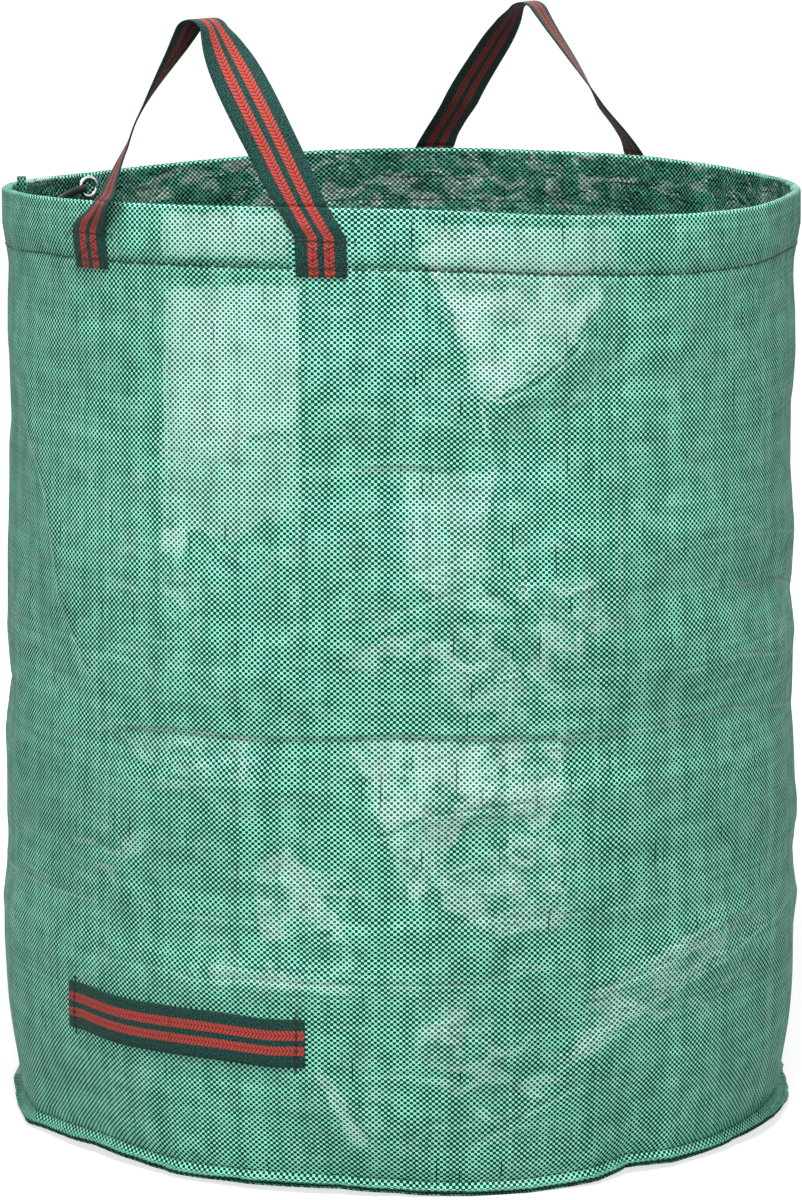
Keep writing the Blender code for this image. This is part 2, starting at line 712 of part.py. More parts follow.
def handle(name, handle_angle, loop_rise, rim):
    """One top handle with its two joints' empties."""
    drop = axis_empty(f"{name}_drop_axis", drop_axis(handle_angle), rim)
    fold = axis_empty(f"{name}_fold_axis", fold_axis(handle_angle, loop_rise), drop)
    handle_ends(name, handle_angle, rim)
    handle_risers(name, handle_angle, loop_rise, drop)
    handle_loop(name, handle_angle, loop_rise, fold)
    for side, angle in handle_places(handle_angle).items():
        box_stitch(f"{name}_stitch_{side}", angle, rim)


def main():
    clear_scene()
    base_panel()
    wall_panel()
    seam_threads()
    rim = axis_empty("rim_slide", (0, 0, BAG_HEIGHT))
    hem_band(rim)
    hem_hoop(rim)
    eyelet(rim)
    hem_thread(rim)
    top_handles = {"front_handle": (0.0, HANDLE_RISE), "rear_handle": (REAR_HANDLE_ANGLE, REAR_HANDLE_RISE)}
    for name, (angle, loop_rise) in top_handles.items():
        handle(name, angle, loop_rise, rim)
    lift_place = on_bag(outer_radius(TIP_HANDLE_HEIGHT), TIP_HANDLE_ANGLE, TIP_HANDLE_HEIGHT)
    tip_handle(axis_empty("tip_lift_axis", lift_place))
    for name, (angle, loop_rise) in top_handles.items():
        print(name, "drop axis", tuple(round(v, 5) for v in drop_axis(angle)))
        print(name, "fold axis", tuple(round(v, 5) for v in fold_axis(angle, loop_rise)))


main()
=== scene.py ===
"""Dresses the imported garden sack: crumpled tape cloth, hooped hem, webbing, eyelet and stitching.

Metres, +Z up. Angles on the sack are in degrees from -Y, turning towards +X.
"""

import math

import bmesh
import bpy
import numpy as np
from bpy.props import FloatProperty, FloatVectorProperty, PointerProperty
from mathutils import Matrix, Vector, geometry


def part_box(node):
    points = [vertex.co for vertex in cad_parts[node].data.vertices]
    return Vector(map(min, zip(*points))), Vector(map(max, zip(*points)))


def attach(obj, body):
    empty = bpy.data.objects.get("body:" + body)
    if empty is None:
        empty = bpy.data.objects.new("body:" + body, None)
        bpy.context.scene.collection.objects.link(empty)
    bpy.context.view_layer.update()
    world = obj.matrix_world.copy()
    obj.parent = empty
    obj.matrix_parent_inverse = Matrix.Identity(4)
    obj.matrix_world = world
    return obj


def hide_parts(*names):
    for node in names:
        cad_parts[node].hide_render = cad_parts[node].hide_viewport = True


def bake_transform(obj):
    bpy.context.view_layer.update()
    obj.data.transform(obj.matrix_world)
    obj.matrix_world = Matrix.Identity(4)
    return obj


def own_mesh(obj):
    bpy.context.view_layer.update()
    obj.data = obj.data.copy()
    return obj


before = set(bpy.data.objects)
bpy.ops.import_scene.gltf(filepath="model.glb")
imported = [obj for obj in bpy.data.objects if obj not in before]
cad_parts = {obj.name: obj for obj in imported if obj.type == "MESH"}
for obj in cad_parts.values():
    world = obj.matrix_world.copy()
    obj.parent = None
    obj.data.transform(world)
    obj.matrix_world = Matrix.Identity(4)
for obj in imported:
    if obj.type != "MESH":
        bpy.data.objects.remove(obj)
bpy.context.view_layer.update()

bl_info = {
    "name": "Hooped garden sack",
    "version": (1, 0, 0),
    "blender": (4, 5, 0),
    "location": "View3D > Sidebar > Sack",
    "description": "Builds the cloth, webbing, hoop, eyelet and stitching of a round garden sack",
    "category": "Add Mesh",
}

# Sizes that the source has too. The wall
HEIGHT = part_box("hem_hoop")[1].z + 0.017
RIM_RADIUS = 0.336
WAIST_INSET = 0.005
BELLY_SWELL = 0.004
FOOT_INSET = 0.001
BELLY_HEIGHT = 0.090
CLOTH = 0.0012
# The hem and its hoop's room, which narrows at the stitches
HEM_HEIGHT = 0.060
HEM_STRAIGHT = 0.030
HEM_CAVITY = 0.0030
HEM_PINCHED = 0.0006
HEM_PINCH = 0.012
HEM_LAP = 0.010
HEM_LINE = HEIGHT - 0.047
# The lifting handles: their upper stitches, the hinges there and at the rim, their straps and their loops
UPPER_LINE = HEIGHT - 0.025
HINGE = HEIGHT - 0.0225
FOLD = HEIGHT + 0.001
SEWN_GAP = 0.0003
WEBBING = 0.0014
HALF_ANGLE = 18.5
STRAP_END = HEIGHT - 0.054
LOOP_RISE = 0.148
REAR_RISE = 0.138
APEX_BEND = 0.013
APEX_SINK = 0.005
REAR_ANGLE = 188.2
# The tipping handle
TIP_ANGLE = -4.0
TIP_HALF_ANGLE = 20.2
TIP_HEIGHT = 0.1225
TIP_BAR_INSET = 0.0075
TIP_BAR = 0.054
# The side seam, the eyelet and the hoop band
SEAM_ANGLE = -67.0
SEAM_DEPTH = 0.012
EYELET_ANGLE = -93.3
EYELET_HEIGHT = HEIGHT - 0.020
HOOP_HEIGHT = HEIGHT - 0.0205
HOOP_WIDTH = 0.007
HOOP_THICK = 0.0012
HOOP_BEND = 0.0078
HOOP_TAIL = 0.075
# The length round the rim
ROUND = 2 * math.pi * RIM_RADIUS

# Grid of the wall
COLUMNS = 420
WALL_ROWS = 140
INNER_ROWS = 72


# ---------------------------------------------------------------- small maths


def ease(share):
    s = np.clip(share, 0.0, 1.0)
    return s * s * (3 - 2 * s)


def between(a, b, share):
    return a + (b - a) * ease(share)


def wrapped(angle):
    """Angles brought to -180..180."""
    return (np.asarray(angle, float) + 180.0) % 360.0 - 180.0


def arc_of(length, radius=RIM_RADIUS):
    """Degrees that a length spans round the sack."""
    return math.degrees(length / radius)


def on_bag(radius, angle, z):
    a = np.radians(angle)
    radius, a, z = np.broadcast_arrays(radius, a, z)
    return np.stack([radius * np.sin(a), -radius * np.cos(a), z], -1)


def outward(angle):
    return on_bag(1.0, angle, 0.0)


def unit(v):
    return v / np.maximum(np.linalg.norm(v, axis=-1, keepdims=True), 1e-12)


def run_along(path):
    """The length of a path up to each of its points."""
    return np.concatenate([[0], np.cumsum(np.linalg.norm(np.diff(path, axis=0), axis=1))])


def profile(z):
    """Radius of the cloth's outer face before it creases."""
    z = np.asarray(z, float)
    cone_foot, cone_top = HEIGHT - HEM_HEIGHT, HEIGHT - HEM_STRAIGHT
    waist, belly, foot = RIM_RADIUS - WAIST_INSET, RIM_RADIUS + BELLY_SWELL, RIM_RADIUS - FOOT_INSET
    cone = waist + (RIM_RADIUS - waist) * np.clip((z - cone_foot) / (cone_top - cone_foot), 0, 1)
    wall = between(belly, waist, (z - BELLY_HEIGHT) / (cone_foot - BELLY_HEIGHT))
    low = between(foot, belly, z / BELLY_HEIGHT)
    return np.where(z >= cone_foot, cone, np.where(z >= BELLY_HEIGHT, wall, low))


def round_curve(angle, marks):
    """A smooth closed curve through (angle, value) marks, read at the angles."""
    at = np.array([m[0] for m in marks], float)
    value = np.array([m[1] for m in marks], float)
    at = np.concatenate([at - 360, at, at + 360])
    value = np.tile(value, 3)
    slope = np.gradient(value, at)
    a = wrapped(angle)
    i = np.clip(np.searchsorted(at, a) - 1, 0, len(at) - 2)
    span = at[i + 1] - at[i]
    t = (a - at[i]) / span
    return (
        (2 * t**3 - 3 * t**2 + 1) * value[i]
        + (t**3 - 2 * t**2 + t) * span * slope[i]
        + (3 * t**2 - 2 * t**3) * value[i + 1]
        + (t**3 - t**2) * span * slope[i + 1]
    )


def soft_noise(angle, z, across, up, seed):
    """Smooth noise from -1 to 1, in cells that close round the sack and are `up` high."""
    table = np.random.RandomState(seed).uniform(-1, 1, (int(1.3 / up) + 4, across))
    x = (np.asarray(angle, float) % 360.0) / 360.0 * across
    y = (np.asarray(z, float) + 0.15) / up
    x, y = np.broadcast_arrays(x, y)
    i, j = np.floor(x).astype(int), np.floor(y).astype(int)
    fx, fy = ease(x - i), ease(y - j)
    j = np.clip(j, 0, table.shape[0] - 2)
    a, b = table[j, i % across], table[j, (i + 1) % across]
    c, d = table[j + 1, i % across], table[j + 1, (i + 1) % across]
    return (a + (b - a) * fx) * (1 - fy) + (c + (d - c) * fx) * fy


def round_noise(angle, cells, seed):
    """Smooth noise from -1 to 1 that runs round the sack only."""
    return soft_noise(angle, 0.0, cells, 0.3, seed)


# ------------------------------------------------------------ the cloth's form

# How far the rim rises and dips round the mouth, in mm, because its hoop isn't flat
RIM_LIFTS = (
    (-178, 2.9), (-151, 3.4), (-137, 1.6), (-122, -2.6), (-111, -5.4), (-95, -7.6), (-82, -6.6),
    (-52, -2.2), (-21, 1.2), (0, 3.0), (15, 4.2), (31, 3.2), (52, -3.6), (70, -7.4), (88, -7.8),
    (105, -4.0), (128, -3.6), (141, -3.2), (157, -0.3), (170, 2.2),
)
# How far the foot stands up off the floor, and how far it is drawn in, in mm
FOOT_LIFTS = (
    (-170, 2.0), (-140, 0.3), (-110, 2.5), (-80, 0.4), (-55, 1.5), (-36, 3.0), (-18, 6.5),
    (-5, 3.6), (8, 4.2), (22, 4.6), (30, 2.2), (40, 0.3), (50, 0.6), (58, 3.0), (65, 5.2),
    (72, 3.0), (84, 2.2), (100, 3.4), (125, 0.4), (150, 2.6),
)
FOOT_DRAWS = (
    (-170, 2.0), (-130, 5.0), (-95, 1.0), (-60, 4.0), (-38, 2.0), (-18, 7.0), (0, 2.0),
    (20, 3.0), (40, 0.0), (55, 1.0), (66, 5.0), (85, 3.0), (110, 6.0), (140, 1.0),
)
# Folds of the cloth, as (angle, height, mm that it stands out) along each. Between them it is stretched flat
FOLDS = (
    # Upright packing folds of the front
    ((15.2, 0.735, 0.4), (15.2, 0.660, 2.0), (15.4, 0.605, 1.8), (15.3, 0.520, 1.6), (15.2, 0.440, 0.8)),
    ((-4.6, 0.730, 0.4), (-4.8, 0.660, 1.6), (-5.0, 0.560, 1.4), (-5.2, 0.480, 0.8)),
    ((60.5, 0.600, 0.4), (60.5, 0.520, 1.8), (60.5, 0.450, 1.8), (60.5, 0.412, 1.2)),
    ((5.0, 0.700, -0.8), (5.2, 0.640, -0.6)),
    ((23.0, 0.700, -0.4), (23.5, 0.640, 0.6)),
    # The leaf-shaped dent below the rim
    ((31.1, 0.763, -2.2), (32.1, 0.748, -1.4), (34.2, 0.718, 0.4), (37.9, 0.684, 2.8), (39.5, 0.648, 4.6),
     (42.7, 0.641, 4.4), (48.7, 0.658, 3.6), (53.9, 0.681, 2.2), (56.5, 0.712, 0.6), (58.7, 0.735, -1.0),
     (59.2, 0.764, -2.4), (50.8, 0.780, -3.2), (41.3, 0.778, -3.2), (31.1, 0.763, -2.2)),
    ((38.5, 0.728, -0.6), (42.7, 0.696, 0.6), (47.0, 0.676, 2.6)),
    ((43.5, 0.758, -1.4), (46.1, 0.741, -1.0), (50.0, 0.712, 0.3)),
    ((28.0, 0.740, -2.2), (30.5, 0.700, -1.4), (34.0, 0.660, 0.4)),
    ((46.5, 0.620, -1.0), (55.5, 0.645, -1.6), (61.0, 0.690, -1.8)),
    # The level crease below it, and the upright fold that it ends on
    ((18.0, 0.580, -0.8), (24.0, 0.583, -2.0), (29.1, 0.585, -2.6), (36.0, 0.584, -2.2), (42.0, 0.584, 1.6)),
    ((22.0, 0.632, 0.6), (29.0, 0.630, 1.2), (36.0, 0.622, 1.6)),
    ((39.5, 0.648, 4.6), (42.0, 0.584, 1.6), (40.6, 0.554, 2.0), (39.5, 0.496, 2.4)),
    ((24.0, 0.520, 0.8), (31.0, 0.505, 1.8), (35.0, 0.512, 2.0)),
    ((41.0, 0.520, 0.4), (46.0, 0.494, -0.8), (52.0, 0.520, 0.4)),
    # The crease half way down, in at its line, with a wide dark facet above it
    ((-30.0, 0.352, 0.4), (-13.4, 0.364, -2.0), (-3.3, 0.369, -2.8), (9.8, 0.368, -2.6), (21.6, 0.371, -3.0),
     (29.1, 0.374, -3.2), (40.0, 0.371, -3.0), (52.6, 0.369, -2.2), (63.9, 0.369, -1.6), (81.5, 0.374, -1.8),
     (100.0, 0.358, -1.4), (118.2, 0.340, -1.0)),
    ((-9.0, 0.402, 0.6), (4.0, 0.404, 0.6), (17.0, 0.402, 0.2)),
    ((22.0, 0.470, 1.4), (31.0, 0.476, 1.8), (39.5, 0.496, 2.4), (47.1, 0.439, 1.2), (51.3, 0.400, 0.2),
     (52.6, 0.369, -2.2)),
    ((46.0, 0.486, 1.8), (50.6, 0.457, 0.4), (55.0, 0.430, 1.0), (58.0, 0.400, 0.6)),
    ((70.0, 0.412, 1.4), (84.0, 0.418, 1.8), (100.0, 0.404, 1.4)),
    ((-12.0, 0.326, 1.2), (0.0, 0.330, 1.4), (10.0, 0.334, 1.0)),
    ((15.0, 0.345, -0.8), (21.0, 0.318, 0.8), (26.0, 0.292, 2.2), (33.0, 0.312, 2.6), (42.0, 0.318, 2.2),
     (51.5, 0.322, 1.8)),
    ((48.0, 0.337, -0.4), (53.8, 0.365, -2.6)),
    ((64.0, 0.322, 0.8), (80.0, 0.318, 0.8), (96.0, 0.312, 0.6)),
    # Facets lower on the front
    ((33.8, 0.296, -0.8), (42.0, 0.300, -1.0), (52.4, 0.296, -0.4)),
    ((52.4, 0.296, -0.4), (52.2, 0.252, 1.6), (50.3, 0.230, 2.4), (42.1, 0.213, 2.8), (36.0, 0.224, 1.6)),
    ((57.0, 0.262, -0.8), (57.0, 0.222, -0.8)),
    ((45.0, 0.196, 0.0), (54.0, 0.204, -0.2)),
    ((12.3, 0.283, -1.2), (16.6, 0.246, 0.8), (21.3, 0.215, 2.6)),
    ((8.4, 0.232, -0.6), (13.4, 0.221, 1.6), (19.2, 0.211, 2.4), (21.3, 0.215, 2.6)),
    ((22.5, 0.262, 0.0), (26.0, 0.228, -0.4)),
    ((-36.7, 0.158, 1.0), (-20.0, 0.168, 0.8), (-4.9, 0.174, 1.2), (0.2, 0.168, 1.8), (9.4, 0.174, 2.2),
     (18.7, 0.173, 2.0), (29.1, 0.174, 1.6), (38.9, 0.174, 1.6)),
    ((-18.0, 0.196, -0.4), (-4.0, 0.196, -0.6), (8.0, 0.198, -0.4), (17.0, 0.192, -0.2), (28.0, 0.194, 0.0)),
    ((41.5, 0.178, 0.8), (47.0, 0.184, 1.6), (53.7, 0.185, 1.2)),
    ((-20.0, 0.148, 0.0), (0.0, 0.150, 0.0), (14.0, 0.152, 0.2), (30.0, 0.154, 0.2), (44.0, 0.160, 0.0)),
    # Slanting folds at the lower right
    ((54.4, 0.161, 1.0), (59.7, 0.163, 2.6), (65.6, 0.171, 3.0), (78.5, 0.191, 3.0), (90.2, 0.206, 1.6)),
    ((57.0, 0.190, 0.0), (70.0, 0.204, -0.2), (84.0, 0.222, 0.0)),
    ((60.0, 0.146, 0.6), (68.0, 0.158, 0.9), (80.0, 0.178, 0.9), (90.0, 0.192, 0.8)),
    ((61.7, 0.138, 1.6), (75.2, 0.160, 2.4), (90.2, 0.180, 2.2), (102.2, 0.188, 1.2)),
    ((72.0, 0.128, -0.8), (88.0, 0.148, -1.2)),
    ((52.0, 0.102, 1.4), (59.7, 0.122, 2.0), (66.0, 0.128, 0.6)),
    ((52.6, 0.126, 0.0), (57.0, 0.142, 0.0)),
    ((40.7, 0.047, 1.4), (46.0, 0.064, 2.2), (52.6, 0.080, 1.6)),
    ((42.0, 0.074, 0.0), (50.0, 0.098, 0.0)),
    ((39.5, 0.129, 0.6), (44.8, 0.122, 1.6), (42.1, 0.099, 0.8)),
    ((29.6, 0.036, 0.8), (33.1, 0.058, 1.8), (36.8, 0.062, 1.6)),
    ((33.1, 0.080, 0.2), (36.8, 0.090, 0.8)),
    ((18.1, 0.104, 1.0), (18.6, 0.092, 1.8), (20.9, 0.071, 2.6), (24.3, 0.046, 2.2)),
    ((21.5, 0.098, 0.0), (25.5, 0.070, 0.0)),
    # The left side turns away along one long fold
    ((-37.5, 0.640, 1.6), (-37.5, 0.598, 2.0), (-30.4, 0.543, 2.6), (-26.7, 0.467, 2.8), (-20.0, 0.411, 2.4),
     (-15.6, 0.366, -1.0)),
    ((-46.0, 0.600, -1.0), (-40.0, 0.520, -1.4), (-36.0, 0.440, -1.6), (-29.0, 0.395, -1.2)),
    ((-43.0, 0.496, -1.2), (-33.5, 0.404, -1.2), (-24.0, 0.384, -0.6)),
    ((-14.0, 0.640, 0.4), (-12.0, 0.560, 0.6), (-11.0, 0.470, 0.8)),
    ((-24.0, 0.300, 0.8), (-10.0, 0.270, 1.2), (2.0, 0.282, 0.4)),
    # Small level wrinkles of the left panel
    ((-6.0, 0.590, 1.0), (-1.0, 0.594, 1.2), (7.0, 0.598, 0.6), (14.0, 0.594, 1.6)),
    ((-5.5, 0.578, -0.4), (2.0, 0.578, -0.6)),
    ((-6.0, 0.569, 0.6), (-1.0, 0.569, 0.8), (3.0, 0.566, 0.2)),
    ((6.8, 0.588, -0.4), (10.0, 0.570, -0.8), (13.3, 0.552, 0.4)),
    ((-5.0, 0.500, 1.4), (-1.0, 0.494, 1.4)), ((-5.0, 0.520, 0.0), (0.0, 0.518, 0.0)),
    # The right side
    ((65.8, 0.474, -0.4), (79.8, 0.481, -1.8), (100.0, 0.466, -2.0), (118.2, 0.440, -1.6)),
    ((70.0, 0.520, 1.2), (92.0, 0.516, 1.4), (112.0, 0.496, 1.2)),
    ((78.0, 0.448, 0.8), (98.0, 0.434, 0.8), (114.0, 0.410, 0.6)),
    ((86.0, 0.700, 1.0), (92.0, 0.640, 1.8), (90.0, 0.570, 1.0)),
    ((70.0, 0.660, -1.0), (74.0, 0.590, -0.8)),
    # The sides that the photograph doesn't show, folded in the same way
    ((118.0, 0.700, 0.4), (124.0, 0.650, 2.4), (131.0, 0.600, 3.2), (128.0, 0.520, 1.0)),
    ((138.0, 0.620, -1.6), (136.0, 0.540, -1.8)), ((112.0, 0.600, -1.4), (116.0, 0.540, -1.2)),
    ((118.0, 0.280, 0.4), (134.0, 0.250, 2.8), (150.0, 0.262, 1.0)),
    ((122.0, 0.222, -1.2), (142.0, 0.214, -1.4)), ((124.0, 0.310, -1.0), (146.0, 0.306, -1.2)),
    ((-172.0, 0.660, 0.6), (-163.0, 0.590, 2.8), (-158.0, 0.500, 3.0), (-161.0, 0.430, 1.0)),
    ((-150.0, 0.580, -1.6), (-148.0, 0.500, -1.6)), ((-174.0, 0.560, -1.4), (-172.0, 0.480, -1.8)),
    ((-150.0, 0.300, 0.6), (-136.0, 0.262, 2.8), (-120.0, 0.270, 1.2)),
    ((-144.0, 0.226, -1.2), (-126.0, 0.228, -1.2)),
    ((150.0, 0.560, 0.8), (162.0, 0.510, 2.6), (176.0, 0.520, 1.0)),
    ((156.0, 0.470, -1.4), (172.0, 0.476, -1.0)), ((156.0, 0.560, -1.2), (170.0, 0.552, -1.0)),
    ((-140.0, 0.640, 0.8), (-131.0, 0.560, 2.6), (-134.0, 0.480, 1.0)),
    ((-122.0, 0.600, -1.4), (-121.0, 0.520, -1.4)),
    ((-112.0, 0.690, 0.8), (-104.0, 0.630, 2.4), (-90.0, 0.610, 0.8)),
    ((-108.0, 0.100, 0.8), (-94.0, 0.150, 2.4), (-84.0, 0.210, 0.8)),
    ((132.0, 0.040, 0.8), (142.0, 0.090, 2.2), (158.0, 0.120, 0.8)),
    ((-176.0, 0.050, 0.8), (-166.0, 0.090, 2.2), (-150.0, 0.100, 0.8)),
    ((174.0, 0.240, 0.6), (-176.0, 0.200, 2.2), (-166.0, 0.190, 0.8)),
)
# Level packing folds of the sides that don't show, as (height, mm out, from, to)
PACKED_ROUND = ((0.371, -2.6, 124, 318), (0.176, 2.2, 108, 318), (0.585, -1.6, 144, 300))
# Their upright packing folds, as (angle, mm out, from height, to height)
PACKED_UPRIGHT = (
    (-146.0, 1.8, 0.38, 0.46), (165.0, 2.0, 0.600, 0.710), (112.0, 1.8, 0.620, 0.720), (-62.0, 1.8, 0.40, 0.56),
    (-66.0, 1.6, 0.20, 0.34), (-88.0, 1.6, 0.40, 0.55), (-100.0, 1.8, 0.22, 0.35), (168.0, 1.8, 0.10, 0.35),
    (146.0, 1.6, 0.40, 0.56), (-52.0, 1.2, 0.640, 0.72), (-24.0, 1.2, 0.660, 0.73), (92.0, 1.2, 0.24, 0.300),
)
# Puckers where the foot is gathered into its seam: angle, half width in degrees, depth in mm, height
FOOT_TUCKS = (
    (63.2, 1.6, -6.0, 0.040), (29.0, 1.4, -4.5, 0.030), (20.6, 1.2, -3.0, 0.050), (47.0, 2.6, 2.4, 0.045),
    (56.5, 2.2, 3.0, 0.050), (70.5, 2.4, 2.6, 0.050), (84.0, 2.0, -2.6, 0.055), (96.0, 3.0, 2.4, 0.060),
    (8.0, 2.2, 2.0, 0.040), (-6.0, 1.6, -2.4, 0.035), (-21.0, 2.4, -2.6, 0.055), (-38.0, 2.0, 2.2, 0.045),
    (-55.0, 1.8, -3.0, 0.060), (-72.0, 2.4, 2.0, 0.040), (-88.0, 1.6, -3.4, 0.045), (-104.0, 2.4, 2.2, 0.050),
    (-121.0, 1.8, -2.8, 0.060), (-139.0, 2.6, 2.4, 0.040), (-156.0, 1.6, -3.2, 0.050), (-172.0, 2.2, 2.0, 0.045),
    (112.0, 1.6, -3.0, 0.045), (127.0, 2.6, 2.4, 0.050), (143.0, 1.8, -3.0, 0.055), (158.0, 2.4, 2.2, 0.045),
    (172.0, 1.6, -2.8, 0.050),
)


# Tables over the unrolled wall
MAP_COLUMNS, MAP_ROWS = 1200, 460
MAP_LOW, MAP_HIGH = -0.03, HEIGHT + 0.03
# The angle that the photograph looks at, and how a fold's ridge fades beside it in metres
SHOWN_MIDDLE = 30
RIDGE_FADE = 0.0065


def stretched(points, tops, lines):
    """A table of heights over the unrolled wall of a sheet stretched flat between points."""
    made = geometry.delaunay_2d_cdt([Vector(p) for p in points], lines, [], 0, 1e-6)
    x = np.array([(p.x + ROUND / 2) / ROUND * MAP_COLUMNS for p in made[0]])
    y = np.array([(p.y - MAP_LOW) / (MAP_HIGH - MAP_LOW) * (MAP_ROWS - 1) for p in made[0]])
    top = np.array([tops[origin[0]] if origin else 0.0 for origin in made[3]])
    table = np.zeros((MAP_ROWS, MAP_COLUMNS))
    for i, j, k in made[2]:
        left, right = max(0, math.ceil(min(x[i], x[j], x[k]))), min(MAP_COLUMNS - 1, math.floor(max(x[i], x[j], x[k])))
        low, high = max(0, math.ceil(min(y[i], y[j], y[k]))), min(MAP_ROWS - 1, math.floor(max(y[i], y[j], y[k])))
        if left > right or low > high:
            continue
        gy, gx = np.mgrid[low : high + 1, left : right + 1]
        area = (x[j] - x[i]) * (y[k] - y[i]) - (x[k] - x[i]) * (y[j] - y[i])
        if abs(area) < 1e-9:
            continue
        b = ((gx - x[i]) * (y[k] - y[i]) - (x[k] - x[i]) * (gy - y[i])) / area
        c = ((x[j] - x[i]) * (gy - y[i]) - (gx - x[i]) * (y[j] - y[i])) / area
        inside = (b > -1e-6) & (c > -1e-6) & (b + c < 1 + 1e-6)
        values = top[i] + b * (top[j] - top[i]) + c * (top[k] - top[i])
        part = table[low : high + 1, left : right + 1]
        part[inside] = values[inside]
    return table


def scattered(size, seed, keep_off=()):
    """Jittered points over the unrolled wall with a height from -1 to 1 each, repeated past its ends."""
    rng = np.random.RandomState(seed)
    columns = int(round(ROUND / size))
    rows = int((MAP_HIGH - MAP_LOW) / size) + 4
    step = ROUND / columns
    jitter = rng.uniform(-0.40, 0.40, (rows, columns, 2))
    heights = rng.uniform(-1, 1, (rows, columns))
    near = np.array(keep_off) if len(keep_off) else np.zeros((0, 2))
    points, tops = [], []
    for r in range(rows):
        for c in range(-3 - columns // 2, columns // 2 + 4):
            x = (c + jitter[r, c % columns, 0]) * step
            y = MAP_LOW + (r - 1.5 + jitter[r, c % columns, 1]) * size
            if len(near) and np.min(np.hypot(near[:, 0] - x, near[:, 1] - y)) < 0.52 * size:
                continue
            points.append((x, y))
            tops.append(heights[r, c % columns])
    return points, tops


def fold_lines():
    """All folds as lists of (along, height, metres out)."""
    lines = [[(ROUND * a / 360.0, h, 0.001 * top) for a, h, top in fold] for fold in FOLDS]
    for height, top, start, stop in PACKED_ROUND:
        rng = np.random.RandomState(int(height * 1000))
        at = np.arange(start, stop, 11.0)
        lines.append(
            [(ROUND * a / 360.0, height + rng.uniform(-0.006, 0.006), 0.001 * top * rng.uniform(0.2, 1.2)) for a in at]
        )
        for side in (-0.042, 0.042):
            lines.append([(ROUND * a / 360.0, height + side, -0.0005 * top) for a in at[1:-1:3]])
    for angle, top, low, high in PACKED_UPRIGHT:
        at = np.linspace(low, high, 4)
        lines.append([(ROUND * angle / 360.0, h, 0.001 * top * s) for h, s in zip(at, (0.3, 1.0, 0.9, 0.3))])
    return lines


def kept_map(key, make):
    """A table that is worked out once."""
    if key not in kept_map.made:
        kept_map.made[key] = make()
    return kept_map.made[key]


kept_map.made = {}


def fold_map():
    """The large facets: the placed folds, with loose points between them."""
    corners = {}
    edges = set()
    for line in fold_lines():
        for shift in (-ROUND, 0.0, ROUND):
            last = None
            for x, y, top in line:
                key = (round(x + shift, 5), round(y, 5))
                corners.setdefault(key, top)
                if last is not None and last != key:
                    edges.add((last, key))
                last = key
    keys = list(corners)
    dense = list(keys)
    for a, b in edges:
        for share in (0.25, 0.5, 0.75):
            dense.append((a[0] + (b[0] - a[0]) * share, a[1] + (b[1] - a[1]) * share))
    points, tops = scattered(0.078, 11, dense)
    number = {key: i for i, key in enumerate(keys)}
    lines = [(number[a], number[b]) for a, b in sorted(edges)]
    return stretched(keys + points, [corners[k] for k in keys] + [0.0018 * t for t in tops], lines)


def fold_fields():
    """(height of a sharp ridge or valley along every placed fold, from -1 to 1, metres to the nearest fold,
    less than nothing on one side of it) over the unrolled wall."""
    table = np.zeros((MAP_ROWS, MAP_COLUMNS))
    apart = np.full(table.shape, 0.05)
    step_x, step_y = ROUND / MAP_COLUMNS, (MAP_HIGH - MAP_LOW) / (MAP_ROWS - 1)
    reach_x, reach_y = int(0.022 / step_x), int(0.022 / step_y)
    for line in fold_lines():
        for (x0, y0, top0), (x1, y1, top1) in zip(line, line[1:]):
            for turn in (-ROUND, 0.0, ROUND):
                i0, i1 = sorted((round((x0 + turn + ROUND / 2) / step_x), round((x1 + turn + ROUND / 2) / step_x)))
                j0, j1 = sorted((round((y0 - MAP_LOW) / step_y), round((y1 - MAP_LOW) / step_y)))
                i0, i1 = max(i0 - reach_x, 0), min(i1 + reach_x, MAP_COLUMNS - 1)
                j0, j1 = max(j0 - reach_y, 0), min(j1 + reach_y, MAP_ROWS - 1)
                if i0 > i1 or j0 > j1:
                    continue
                gy, gx = np.mgrid[j0 : j1 + 1, i0 : i1 + 1]
                px, py = gx * step_x - ROUND / 2 - x0 - turn, gy * step_y + MAP_LOW - y0
                dx, dy = x1 - x0, y1 - y0
                t = np.clip((px * dx + py * dy) / (dx * dx + dy * dy), 0, 1)
                strength = np.clip((top0 + (top1 - top0) * t) / 0.0026, -1, 1)
                away = np.hypot(px - t * dx, py - t * dy)
                value = strength * np.exp(-away / RIDGE_FADE)
                here = (slice(j0, j1 + 1), slice(i0, i1 + 1))
                nearer = away < np.abs(apart[here])
                np.copyto(apart[here], np.where(px * dy - py * dx < 0, -away, away), where=nearer)
                np.copyto(table[here], value, where=nearer)
    return table, apart


def map_grid():
    """(angle, height) of every place in a table over the unrolled wall."""
    return np.meshgrid(np.linspace(-180, 180, MAP_COLUMNS, endpoint=False), np.linspace(MAP_LOW, MAP_HIGH, MAP_ROWS))


def hidden_side(angle, start):
    """0 where the photograph shows the sack, 1 from 18 degrees past the start on either side of its middle."""
    return ease((np.abs(wrapped(angle - SHOWN_MIDDLE)) - start) / 18)


def facet_map(size, seed):
    points, tops = scattered(size, seed)
    return stretched(points, tops, [])


def softened(table, times=1):
    """A table with its edges rounded by a small blur that wraps round the sack."""
    for _ in range(times):
        table = 0.5 * table + 0.25 * (np.roll(table, 1, 1) + np.roll(table, -1, 1))
        up = np.vstack([table[1:], table[-1:]])
        down = np.vstack([table[:1], table[:-1]])
        table = 0.5 * table + 0.25 * (up + down)
    return table


